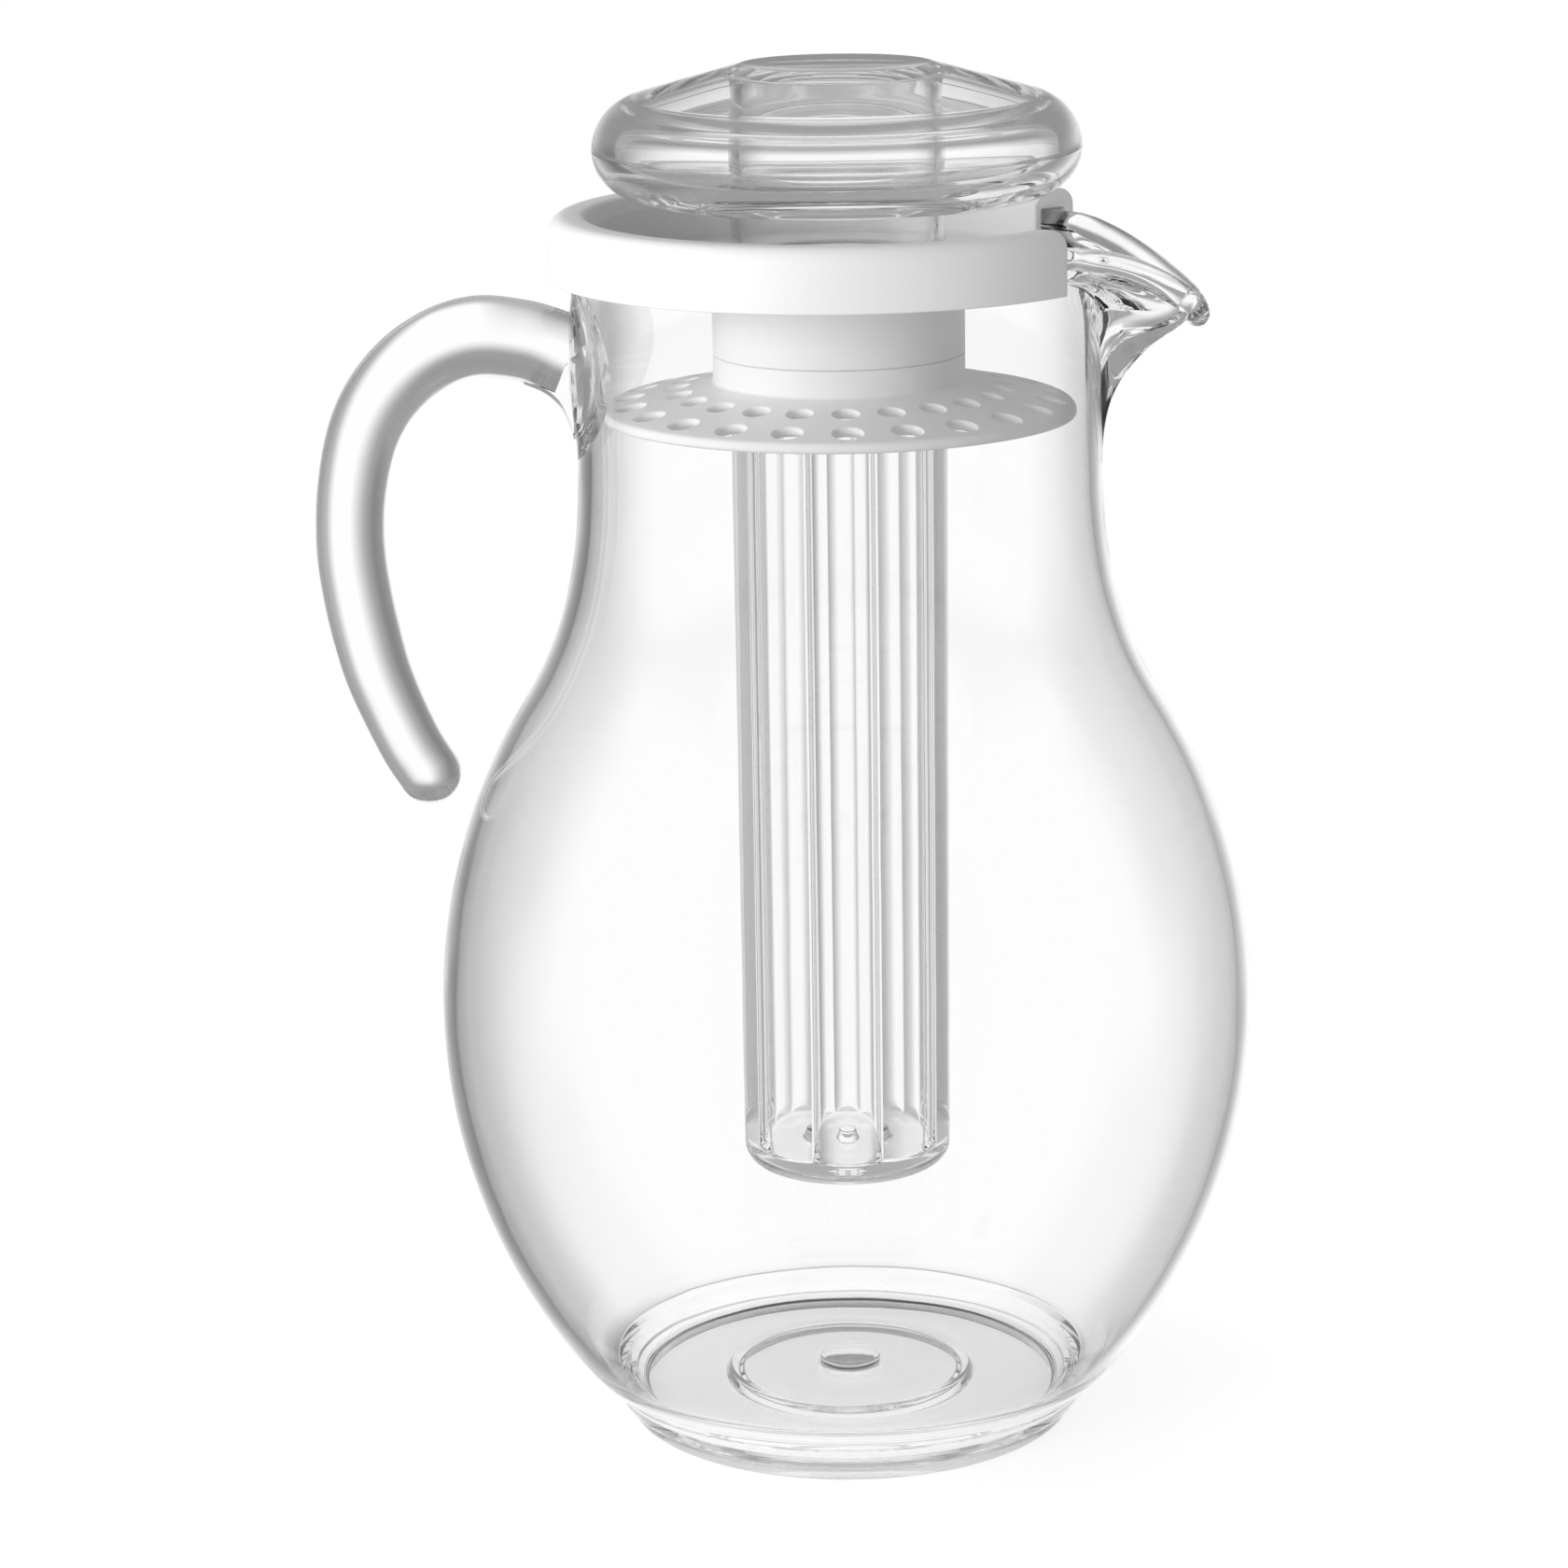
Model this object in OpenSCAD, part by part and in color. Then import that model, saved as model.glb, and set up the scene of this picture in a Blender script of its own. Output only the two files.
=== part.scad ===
// Clear pitcher with a lift-out ice tube, a strainer lid and a hollow clear cap.
// Millimetres. The origin is on the jug's axis at the plane it stands on, +Z is up, +X is the spout.

/* [Jug] */
// Height of the top of the rim
jug_h = 244.7; // [220:1:275]
// Largest outer radius of the belly
belly_r = 82.5; // [76:0.5:90]
// Height of the widest place of the belly
belly_z = 87; // [80:1:96]
// Outer radius where the belly leaves the foot
base_r = 52.7; // [49:0.5:57]
// Outer radius where the belly turns into the shoulder
shoulder_r = 64.4; // [62:0.2:68]
// Height where the belly turns into the shoulder
shoulder_z = 150; // [140:1:158]
// Outer radius of the neck
neck_r = 52.1; // [51.4:0.1:53]
// Depth below the rim where the shoulder has become the straight neck
neck_drop = 41.7; // [39:0.1:54]
// Wall of the jug
jug_wall = 2.6; // [2:0.1:3]
// Radius of the bead round the rim
bead_r = 2.1; // [1.6:0.1:2.3]

/* [Foot] */
// Outer radius of the foot where it stands
foot_r = 45.8; // [43:0.5:48]
// Height of the foot
foot_h = 8.6; // [6:0.2:11]
// Radius at the top of the foot
foot_top_r = 50.9; // [49:0.2:51.5]
// Inner radius of the ring that the jug stands on
foot_in_r = 41.5; // [38:0.5:43]
// Rounding of the foot's lower edge
foot_round = 1.6; // [0.8:0.1:2.4]
// Depth of the hollow under the floor
foot_hollow = 3; // [2:0.2:3.4]
// Thickness of the floor
floor_t = 2.6; // [2:0.1:4]
// Radius of the flat part of the floor inside
floor_r = 42; // [38:0.5:43]
// Rounding between the floor and the wall
floor_round = 3; // [2:0.1:4]
// Radius of the round step in the middle of the floor
step_r = 25; // [20:0.5:30]
// Height of that step
step_h = 2; // [1:0.1:2.4]
// Radius of the moulding gate on the step
gate_r = 6.2; // [3:0.2:8]
// Height of the moulding gate
gate_t = 1; // [0.4:0.1:1.4]

/* [Spout] */
// Reach of the spout's tip out from the neck
spout_out = 21.1; // [18:0.1:27]
// Depth of the top of the lip at the tip below the rim
tip_drop = 15.2; // [9:0.1:18]
// Depth below the rim where the keel leaves the neck
keel_drop = 45.7; // [41:0.1:52]
// Half width of the spout where its lips leave the neck
mouth_half = 28.4; // [24:0.2:30]
// Wall of the spout
spout_wall = 2.9; // [2.4:0.1:3.4]
// Radius of the rolled lip at the tip
tip_bead_r = 2.5; // [2.1:0.1:2.8]

/* [Handle] */
// Radius of the bar at its root
bar_root_r = 8.2; // [7:0.1:9]
// Radius of the bar at the grip
bar_grip_r = 7; // [6:0.1:8]
// Radius of the bar at its free end
bar_end_r = 6.5; // [5.5:0.1:7.2]
// Distance of the grip's centre line out from the neck
grip_out = 46.9; // [42:0.1:56]
// Depth of the grip's furthest place below the rim
grip_drop = 60.7; // [54:0.1:68]
// Depth of the bar's centre line below the rim where it leaves the neck
handle_root_drop = 25.1; // [22:0.1:30]
// Depth of the highest place of the bar's centre line below the rim
handle_top_drop = 20.8; // [17:0.1:24]
// Distance of that place out from the neck
handle_top_out = 17.9; // [14:0.1:24]
// Distance of the free end out from the neck
handle_end_out = 31.9; // [28:0.1:40]
// Depth of the free end's centre below the rim
handle_end_drop = 110.1; // [103:0.1:118]
// Thickness of the saddle that joins the bar to the neck
saddle_t = 1.2; // [0.8:0.1:2]
// Half width of the saddle
saddle_half = 32; // [24:0.5:36]
// Depth of the saddle's lower end below the rim
saddle_low_drop = 43.7; // [38:0.1:46]
// Depth of the saddle's upper end below the rim
saddle_high_drop = 3.7; // [3:0.1:14]
// Thickness of the web under the bar
web_t = 6; // [3:0.5:9]

/* [Lid] */
// Reach of the lid's ring out from the neck
ring_out = 4.9; // [4.5:0.1:8]
// Depth of the ring's lower edge below the rim
ring_drop = 8.4; // [7:0.1:10]
// Wall of the ring's skirt
skirt_wall = 1.9; // [1.5:0.1:2.2]
// Thickness of the ring over the rim
ring_top_t = 3.5; // [2.6:0.1:4]
// Wall of the collar that stands inside the rim
collar_wall = 1.6; // [1.2:0.1:2]
// Angle of the gap left for the spout
gap_angle = 73; // [68:1:80]
// Depth of the lid's recessed floor below the rim
lid_floor_drop = 6.7; // [5:0.1:9]
// Thickness of the lid's floor
lid_floor_t = 2.2; // [1.8:0.1:2.6]
// Outer radius of the lid's neck
throat_r = 25; // [24.6:0.1:26]
// Depth below the lid's floor of the seam between the lid's neck and the strainer
seam_drop = 17.2; // [15:0.1:20]

/* [Strainer] */
// Gap between the edge of the strainer's plate and the neck
plate_gap = 2.5; // [1.5:0.1:5.5]
// Depth of the plate's top below the seam where it meets the collar
plate_drop = 5.5; // [4:0.1:8]
// Slope of the plate
plate_slope = 12.2; // [8:0.2:14]
// Thickness of the plate
plate_t = 2.3; // [1.8:0.1:2.8]
// Holes in each row
holes = 23; // [12:1:23]
// Distance of the outer row in from the plate's edge
outer_row_in = 5.4; // [4.6:0.1:8]
// Distance of the inner row in from the plate's edge
inner_row_in = 14.9; // [13:0.1:16]
// Diameter of a hole in the outer row
outer_hole_d = 6; // [4:0.1:6.4]
// Diameter of a hole in the inner row
inner_hole_d = 5.2; // [3:0.1:5.6]

/* [Ice tube] */
// Length of the tube with its flange
tube_length = 185.3; // [170:0.1:195]
// Outer radius of the tube under its flange
tube_r = 21.6; // [21:0.1:21.7]
// Outer radius of the tube at its bottom
tube_low_r = 21.2; // [20.6:0.1:21.4]
// Wall of the tube at the ridges between its flutes
ridge_wall = 2.7; // [2.4:0.1:3]
// Wall of the tube in the middle of a flute
flute_wall = 1.5; // [1.2:0.1:1.8]
// Flutes round the tube's bore
flutes = 8; // [8:1:10]
// Thickness of the tube's bottom
tube_bottom_t = 4.2; // [3:0.1:5]
// Thickness of the tube's flange
flange_t = 1.8; // [1.4:0.1:2]
// Depth of the round mouth above the flutes
mouth_depth = 14.5; // [12:0.5:18]

/* [Cap] */
// Largest radius of the cap
cap_r = 48.05; // [44:0.1:52]
// Height of the seam round the cap's edge above the lid's floor
cap_seam_rise = 23; // [20:0.1:25]
// Height of the edge's rounding above the seam
cap_up = 10.7; // [9:0.1:12]
// Height of the edge's rounding below the seam
cap_down = 9.6; // [8:0.1:11]
// Width of the edge's rounding
cap_round = 11; // [9:0.2:13]
// Radius of the disc on top of the cap
disc_r = 20.6; // [18:0.2:23]
// Height of the disc's rim above the seam
disc_rise = 16.3; // [14:0.1:19]
// Depth of the disc's dish
disc_dish = 0.7; // [0.4:0.1:1]
// Wall of the cap
cap_wall = 4.6; // [2.6:0.1:5]
// Thickness of the cap under its disc
disc_t = 3.4; // [2.4:0.1:4.6]
// Outer radius of the cap's stem
stem_r = 21.2; // [20:0.1:21.3]
// Wall of the stem
stem_wall = 2.1; // [1.8:0.1:2.6]
// Length of the plug below the stem
plug_h = 11.5; // [9:0.5:11.5]
// Wall of the plug
plug_wall = 2; // [1.8:0.1:2.4]
// Thickness of the seal ring round the plug
seal_d = 2.2; // [1.8:0.1:2.6]

/* [Fits] */
// Running gap between the lid and what it slides over
lid_gap = 0.4; // [0.3:0.1:0.6]
// Gap between pieces that lift out of each other
lift_gap = 0.35; // [0.3:0.05:0.5]
// Gap of the strainer's spigot in the lid's neck
spigot_gap = 0.3; // [0.3:0.05:0.4]
// Bond line between the jug and the spout and handle on it
bond_gap = 0.05; // [0.03:0.01:0.1]

/* [Hidden] */
// How far a cut runs past what it cuts
over = 1;
// Facets that OpenSCAD shows on round shapes
$fn = 120;

// Jug
neck_z = jug_h - neck_drop;
bead_z = jug_h - bead_r;
neck_in_r = neck_r - jug_wall;
floor_z = foot_hollow + floor_t;
// A groove divides the foot into two bands
foot_band_shares = [0.42, 0.5];
foot_band_depth = 0.6;
// Steps along each stretch of the jug's outline
belly_steps = 16;
shoulder_steps = 12;

function arc_drop(dz, dr, z) = let (R = (dz * dz + dr * dr) / (2 * dr)) R - sqrt(R * R - z * z);
function blend(a, b, slope_a, run, t) =
    a * (2 * pow(t, 3) - 3 * t * t + 1) + slope_a * run * (pow(t, 3) - 2 * t * t + t)
    + b * (3 * t * t - 2 * pow(t, 3));
// Slope of the belly's arc where the shoulder takes over
shoulder_dz = shoulder_z - belly_z;
shoulder_dr = belly_r - shoulder_r;
shoulder_arc = (pow(shoulder_dz, 2) + pow(shoulder_dr, 2)) / (2 * shoulder_dr);
shoulder_slope = -shoulder_dz / (shoulder_arc - shoulder_dr);
// The jug's outer surface from the top of the foot to the neck, as radius and height
outside = [
    for (i = [0:belly_steps])
        let (z = foot_h + (belly_z - foot_h) * i / belly_steps)
            [belly_r - arc_drop(belly_z - foot_h, belly_r - base_r, belly_z - z), z],
    for (i = [1:belly_steps])
        let (z = belly_z + shoulder_dz * i / belly_steps)
            [belly_r - arc_drop(shoulder_dz, shoulder_dr, z - belly_z), z],
    for (i = [1:shoulder_steps])
        let (t = i / shoulder_steps, run = neck_z - shoulder_z)
            [blend(shoulder_r, neck_r, shoulder_slope, run, t), shoulder_z + run * t]
];
// The same line moved inwards by the wall, square to the surface
function normal_at(line, i) =
    let (a = line[max(i - 1, 0)], b = line[min(i + 1, len(line) - 1)], d = (b - a) / norm(b - a))
        [-d[1], d[0]];
inside_all = [for (i = [0:len(outside) - 1]) outside[i] + jug_wall * normal_at(outside, i)];
inside = [for (p = inside_all) if (p[1] > floor_z + 2 * floor_round) p];

module jug_outline() {
    band_z = foot_h * foot_band_shares[0];
    band_r = foot_r + (foot_top_r - foot_r) * foot_band_shares[1];
    polygon(concat(
        [[0, foot_hollow + step_h], [step_r - floor_t, foot_hollow + step_h], [step_r - floor_t, foot_hollow],
            [foot_in_r, foot_hollow], [foot_in_r, 0], [foot_r - foot_round, 0]],
        [for (a = [-60:30:0]) [foot_r - foot_round + foot_round * cos(a), foot_round * (1 + sin(a))]],
        [[band_r, band_z], [band_r + foot_band_depth, band_z], [foot_top_r, foot_h]],
        outside,
        [[neck_r, bead_z], [neck_in_r, bead_z], [neck_in_r, neck_z]],
        [for (i = [len(inside) - 1:-1:0]) inside[i]],
        [for (a = [90:-15:0]) [floor_r + floor_round * sin(a), floor_z + floor_round * (1 - cos(a))]],
        [[step_r, floor_z], [step_r, floor_z + step_h], [gate_r, floor_z + step_h],
            [gate_r, floor_z + step_h + gate_t], [0, floor_z + step_h + gate_t]]
    ));
}

// Spout
spout_reach = neck_r + spout_out;
tip_z = jug_h - tip_drop;
keel_z = jug_h - keel_drop;
root_x = sqrt(neck_r * neck_r - mouth_half * mouth_half);
tip_x = spout_reach - tip_bead_r;
// The keel ends this many lip radii short of the tip's centre and below the lip
keel_short_share = 1.3;
keel_drop_share = 1.7;
keel_end_x = tip_x - tip_bead_r * keel_short_share;
// Places along the spout from the neck to the tip, with the half width of the lips there, as shares
lip_plan_shares = [
    [0, 1], [0.08, 0.97], [0.18, 0.87], [0.31, 0.74], [0.4, 0.625], [0.49, 0.51], [0.61, 0.37],
    [0.72, 0.255], [0.81, 0.18], [0.87, 0.135], [0.905, 0.118], [0.94, 0.1], [0.971, 0.074], [0.992, 0.04], [1, 0]
];
// Places along the keel and its height there, as shares
keel_shares = [[0, 0], [0.06, 0.24], [0.15, 0.44], [0.3, 0.6], [0.45, 0.745], [0.64, 0.885], [0.8, 0.955], [1, 1]];
lip_fall_power = 1.9;
function along(x) = (x - root_x) / (tip_x - root_x);
function lip_half(x) = mouth_half * lookup(along(x), lip_plan_shares);
function lip_bead(x) = bead_r + (tip_bead_r - bead_r) * min(1, along(x));
function lip_top(x) = jug_h - (jug_h - tip_z) * pow(max(0, (x - root_x) / (spout_reach - root_x)), lip_fall_power);
function lip_mid(x) = lip_top(x) - lip_bead(x);
// The keel's underside climbs steeply off the neck and levels out under the tip
keel_top_z = lip_mid(keel_end_x) - tip_bead_r * keel_drop_share;
function keel_under(x) = keel_z
    + (keel_top_z - keel_z) * lookup((x - neck_r) / (keel_end_x - neck_r), keel_shares);
// A section is a round trough at the tip (1) and a flared vee at the neck (0)
least_trough = 0.12;
trough_power = 0.8;
function trough(x) =
    least_trough + (1 - least_trough) * pow(max(0, min(1, (x - neck_r) / (keel_end_x - neck_r))), trough_power);
function flare(t, k) = k * sqrt(1 - pow(1 - t, 2)) + (1 - k) * pow(t, 3);
section_steps = 8;
// The channel lies this many walls above the keel, and its sides run on past the lips
floor_rise_share = 1.2;
function half_line(x, inset) =
    let (k = trough(x), low = keel_under(x) + inset * floor_rise_share, high = lip_mid(x) + inset / 2)
        [for (i = [0:section_steps]) let (t = i / section_steps)
            [(lip_half(x) + spout_wall / 2 - inset) * flare(t, k), low + (high - low) * t]];
function closed(x, inset) =
    let (h = half_line(x, inset))
        concat([for (i = [section_steps:-1:1]) [x, -h[i][0], h[i][1]]], [for (p = h) [x, p[0], p[1]]]);
// The places where the spout's sections stand
section_shares = [0, 0.1, 0.2, 0.3, 0.36, 0.44, 0.53, 0.63, 0.74, 0.85, 1];
channel_shares = [-0.03, 0.1, 0.2, 0.3, 0.36, 0.44, 0.53, 0.63, 0.74, 0.85, 1.04];
function section_x(s) = root_x + (keel_end_x - root_x) * s;

// The solid through a row of closed sections with equal numbers of points, each one mirror-symmetric
function cap_faces(n, first, flip) = [
    for (i = [0:ceil(n / 2) - 1])
        for (f = [[i, i + 1, n - 1 - i], [i + 1, n - 2 - i, n - 1 - i]])
            if (i + 1 < f[2] && f[0] < f[1])
                flip ? [first + f[2], first + f[1], first + f[0]] : [first + f[0], first + f[1], first + f[2]]
];
module loft(rows) {
    n = len(rows[0]);
    m = len(rows);
    polyhedron(
        points = [for (row = rows) for (p = row) p],
        faces = concat(
            cap_faces(n, 0, false),
            [for (j = [0:m - 2]) for (i = [0:n - 1]) let (k = (i + 1) % n)
                [j * n + i, (j + 1) * n + k, j * n + k]],
            [for (j = [0:m - 2]) for (i = [0:n - 1]) let (k = (i + 1) % n)
                [j * n + i, (j + 1) * n + i, (j + 1) * n + k]],
            cap_faces(n, (m - 1) * n, true)
        )
    );
}
// Rings of a round bar whose centre line is a row of points and whose radius may change
function unit(v) = v / norm(v);
function bar_rings(line, radii, sides, side) = [
    for (i = [0:len(line) - 1])
        let (
            d = unit(line[min(i + 1, len(line) - 1)] - line[max(i - 1, 0)]),
            u = unit(cross(side, d)),
            v = cross(d, u)
        )
            [for (k = [0:sides - 1]) line[i] + radii[i] * (cos(360 * k / sides) * u + sin(360 * k / sides) * v)]
];

// The rolled lip runs out along one side of the spout, round the tip and back
lip_sides = 12;
bead_sides = 32;
lip_count = len(lip_plan_shares);
function lip_point(i, hand) =
    let (x = root_x + (tip_x - root_x) * lip_plan_shares[i][0])
        [x, hand * mouth_half * lip_plan_shares[i][1], lip_mid(x)];
lip_line = concat(
    [for (i = [0:lip_count - 1]) lip_point(i, -1)],
    [for (i = [lip_count - 2:-1:0]) lip_point(i, 1)]
);
lip_radii = [for (p = lip_line) lip_bead(p[0])];

// What the spout and the handle are fitted round
module neck_and_bead(gap) {
    cylinder(r = neck_r + gap, h = jug_h + over);
    rotate_extrude() translate([neck_r, bead_z]) circle(r = bead_r + gap, $fn = bead_sides);
}
module spout_trough(shares, inset) {
    loft([for (s = shares) closed(section_x(s), inset)]);
}
module spout() {
    color("gainsboro", 0.35)
        difference() {
            union() {
                difference() {
                    spout_trough(section_shares, 0);
                    spout_trough(channel_shares, spout_wall);
                }
                for (i = [1:len(lip_line) - 1])
                    hull() {
                        translate(lip_line[i - 1]) sphere(r = lip_radii[i - 1], $fn = lip_sides);
                        translate(lip_line[i]) sphere(r = lip_radii[i], $fn = lip_sides);
                    }
            }
            neck_and_bead(bond_gap);
        }
}
// The mouth cut through the neck behind the spout
module pour_mouth() {
    h = half_line(neck_r, spout_wall);
    half_top = mouth_half - bead_r;
    rotate([90, 0, 90])
        linear_extrude(spout_reach)
            polygon(concat(
                [for (i = [section_steps:-1:1]) [-half_top * flare(i / section_steps, trough(neck_r)), h[i][1]]],
                [for (i = [0:section_steps]) [half_top * flare(i / section_steps, trough(neck_r)), h[i][1]]],
                [[half_top, jug_h + over], [-half_top, jug_h + over]]
            ));
}

module jug_body() {
    color("gainsboro", 0.35)
        difference() {
            union() {
                rotate_extrude() jug_outline();
                rotate_extrude() translate([neck_r, bead_z]) circle(r = bead_r);
            }
            pour_mouth();
        }
}

// Handle
grip_x = neck_r + grip_out;
grip_z = jug_h - grip_drop;
handle_root_z = jug_h - handle_root_drop;
handle_top_x = neck_r + handle_top_out;
handle_top_z = jug_h - handle_top_drop;
handle_end_x = neck_r + handle_end_out;
handle_end_z = jug_h - handle_end_drop;
saddle_low_z = jug_h - saddle_low_drop;
saddle_high_z = jug_h - saddle_high_drop;
bar_sides = 20;
bend_steps = 11;
grip_steps = 12;
root_steps = 4;
end_steps = 4;
bend_power = 0.94;
grip_power = 1.9;
// The free end's rounding runs nearly to its pole
end_turn = 86;
// The web hangs from inside the bar
web_out_share = 1.1;
web_in_share = 0.6;
root_in_x = neck_r + saddle_t / 2;
bar_line = concat(
    [for (i = [0:root_steps - 1]) let (t = i / root_steps)
        [root_in_x + (handle_top_x - root_in_x) * t, handle_root_z + (handle_top_z - handle_root_z) * (1 - pow(1 - t, 2))]],
    [for (i = [0:bend_steps]) let (a = 90 * i / bend_steps)
        [handle_top_x + (grip_x - handle_top_x) * pow(sin(a), bend_power),
            grip_z + (handle_top_z - grip_z) * pow(cos(a), bend_power)]],
    [for (i = [1:grip_steps]) let (t = i / grip_steps)
        [grip_x - (grip_x - handle_end_x) * pow(t, grip_power), grip_z - (grip_z - handle_end_z) * t]]
);
bar_count = len(bar_line);
bar_radii = [
    for (i = [0:bar_count - 1])
        let (p = bar_line[i])
            i <= root_steps ? bar_root_r
            : p[1] > grip_z ? bar_grip_r + (bar_root_r - bar_grip_r) * (p[1] - grip_z) / (handle_top_z - grip_z)
            : bar_end_r + (bar_grip_r - bar_end_r) * (p[1] - handle_end_z) / (grip_z - handle_end_z)
];
// The free end is rounded off like half a ball
bar_run = unit(bar_line[bar_count - 1] - bar_line[bar_count - 2]);
end_line = [for (i = [1:end_steps]) bar_line[bar_count - 1] + bar_run * bar_end_r * sin(end_turn * i / end_steps)];
end_radii = [for (i = [1:end_steps]) bar_end_r * cos(end_turn * i / end_steps)];
whole_line = [for (p = concat(bar_line, end_line)) [-p[0], 0, p[1]]];

module handle_saddle() {
    mid_z = (saddle_low_z + saddle_high_z) / 2;
    half_z = (saddle_high_z - saddle_low_z) / 2;
    intersection() {
        difference() {
            cylinder(r = neck_r + saddle_t, h = jug_h);
            cylinder(r = neck_r, h = jug_h);
        }
        translate([-neck_r - bar_root_r, 0, mid_z])
            rotate([90, 0, 90])
                linear_extrude(neck_r)
                    polygon([for (a = [0:10:350]) [saddle_half * cos(a), half_z * sin(a)]]);
    }
}
module handle() {
    web_x = neck_r + bar_root_r * web_out_share;
    web_top = handle_root_z - bar_root_r * web_in_share;
    color("gainsboro", 0.35)
        difference() {
            union() {
                loft(bar_rings(whole_line, concat(bar_radii, end_radii), bar_sides, [0, 1, 0]));
                translate([0, web_t / 2, 0])
                    rotate([90, 0, 0])
                        linear_extrude(web_t)
                            polygon([[-neck_r + over, saddle_low_z + over], [-neck_r + over, web_top], [-web_x, web_top]]);
                handle_saddle();
            }
            neck_and_bead(bond_gap);
        }
}

// Lid
ring_r = neck_r + ring_out;
ring_low_z = jug_h - ring_drop;
lid_floor_z = jug_h - lid_floor_drop;
seam_z = lid_floor_z - seam_drop;
ring_in_r = ring_r - skirt_wall;
collar_out_r = neck_in_r - lid_gap;
collar_in_r = collar_out_r - collar_wall;
ring_high_z = jug_h + ring_top_t;
ring_seat_z = jug_h;
ring_round_share = 1.1;
ring_round = ring_top_t * ring_round_share;
throat_in_r = tube_r + lift_gap;
flange_r = throat_r - skirt_wall;
spigot_h = 6;
socket_r = throat_r - (throat_r - throat_in_r) / 2 + spigot_gap / 2;
spigot_r = socket_r - spigot_gap;

module gap_cut(from_r, low_z) {
    reach = 2 * ring_r;
    half = gap_angle / 2;
    difference() {
        translate([0, 0, low_z])
            linear_extrude(ring_high_z)
                polygon([[0, 0], [reach * cos(half), -reach * sin(half)], [reach * cos(half), reach * sin(half)]]);
        cylinder(r = from_r, h = 2 * ring_high_z);
    }
}
module lid_ring() {
    floor_low = lid_floor_z - lid_floor_t;
    color("white")
        difference() {
            rotate_extrude()
                polygon(concat(
                    [[throat_in_r, seam_z + spigot_h + over], [socket_r, seam_z + spigot_h + over], [socket_r, seam_z],
                        [throat_r, seam_z], [throat_r, floor_low], [collar_out_r, floor_low],
                        [collar_out_r, ring_seat_z], [ring_in_r, ring_seat_z], [ring_in_r, ring_low_z],
                        [ring_r, ring_low_z]],
                    [for (a = [0:15:90]) [ring_r - ring_round + ring_round * cos(a),
                        ring_high_z - ring_round + ring_round * sin(a)]],
                    [for (a = [90:30:180]) [collar_in_r + collar_wall + collar_wall * cos(a),
                        ring_high_z - collar_wall * (2 - sin(a))]],
                    [[collar_in_r, lid_floor_z], [flange_r + lift_gap, lid_floor_z],
                        [flange_r + lift_gap, lid_floor_z - flange_t], [throat_in_r, lid_floor_z - flange_t]]
                ));
            gap_cut(throat_r + collar_wall, seam_z);
        }
}

// Strainer
plate_r = neck_in_r - plate_gap;
plate_z = seam_z - plate_drop;
outer_row_r = plate_r - outer_row_in;
inner_row_r = plate_r - inner_row_in;
slope = tan(plate_slope);
function plate_top(r) = plate_z - (r - throat_r) * slope;
module hole_row(row_r, d, turn) {
    for (i = [0:holes - 1])
        rotate(turn + 360 * i / holes)
            translate([row_r, 0, plate_top(row_r) - plate_t / 2])
                rotate([0, plate_slope, 0]) {
                    cylinder(d = d, h = 3 * plate_t, center = true);
                    cylinder(r1 = d / 2, r2 = d / 2 + plate_t / 2, h = plate_t / 2 + over / 2);
                }
}
hole_turn = -5.9;
module strainer() {
    bore_r = throat_in_r;
    edge = plate_t / 2;
    color("white")
        difference() {
            rotate_extrude()
                polygon(concat(
                    [[bore_r, plate_top(bore_r) - plate_t]],
                    [for (a = [-90:30:90]) [plate_r - edge + edge * cos(a), plate_top(plate_r - edge) - edge + edge * sin(a)]],
                    [[throat_r, plate_z], [throat_r, seam_z], [spigot_r, seam_z],
                        [spigot_r, seam_z + spigot_h], [bore_r, seam_z + spigot_h]]
                ));
            hole_row(outer_row_r, outer_hole_d, hole_turn);
            hole_row(inner_row_r, inner_hole_d, hole_turn);
        }
}

// Ice tube
tube_top_z = lid_floor_z;
tube_low_z = tube_top_z - tube_length;
ridge_r = tube_low_r - ridge_wall;
flute_out_r = tube_low_r - flute_wall;
// The round mouth above the flutes is a little wider than they are
mouth_r = tube_r - flute_wall;
flute_chord = ridge_r * sin(180 / flutes);
flute_rise = flute_out_r - ridge_r * cos(180 / flutes);
flute_r = (flute_chord * flute_chord + flute_rise * flute_rise) / (2 * flute_rise);
flute_turn = 3.8;
tube_round = 4;
// Each flute is an arc about a centre between the axis and the wall
flute_steps = 10;
flute_half_turn = asin(flute_chord / flute_r);
module fluted_bore() {
    polygon([
        for (i = [0:flutes - 1])
            for (j = [0:flute_steps - 1])
                let (
                    turn = 360 * i / flutes,
                    bend = turn + flute_half_turn * (2 * j / flute_steps - 1)
                )
                    (flute_out_r - flute_r) * [cos(turn), sin(turn)] + flute_r * [cos(bend), sin(bend)]
    ]);
}
module ice_tube() {
    bore_low = tube_low_z + tube_bottom_t;
    color("gainsboro", 0.35)
        difference() {
            rotate_extrude()
                polygon(concat(
                    [[0, tube_low_z]],
                    [for (a = [-90:15:0]) [tube_low_r - tube_round + tube_round * cos(a),
                        tube_low_z + tube_round * (1 + sin(a))]],
                    [[tube_r, tube_top_z - flange_t], [flange_r, tube_top_z - flange_t], [flange_r, tube_top_z],
                        [0, tube_top_z]]
                ));
            translate([0, 0, tube_top_z - mouth_depth]) cylinder(r = mouth_r, h = mouth_depth + over);
            translate([0, 0, bore_low])
                rotate(flute_turn)
                    linear_extrude(tube_top_z - mouth_depth - bore_low + over / 2) fluted_bore();
        }
}

// Cap
seat_z = lid_floor_z;
cap_seam_z = seat_z + cap_seam_rise;
disc_z = cap_seam_z + disc_rise;
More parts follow.
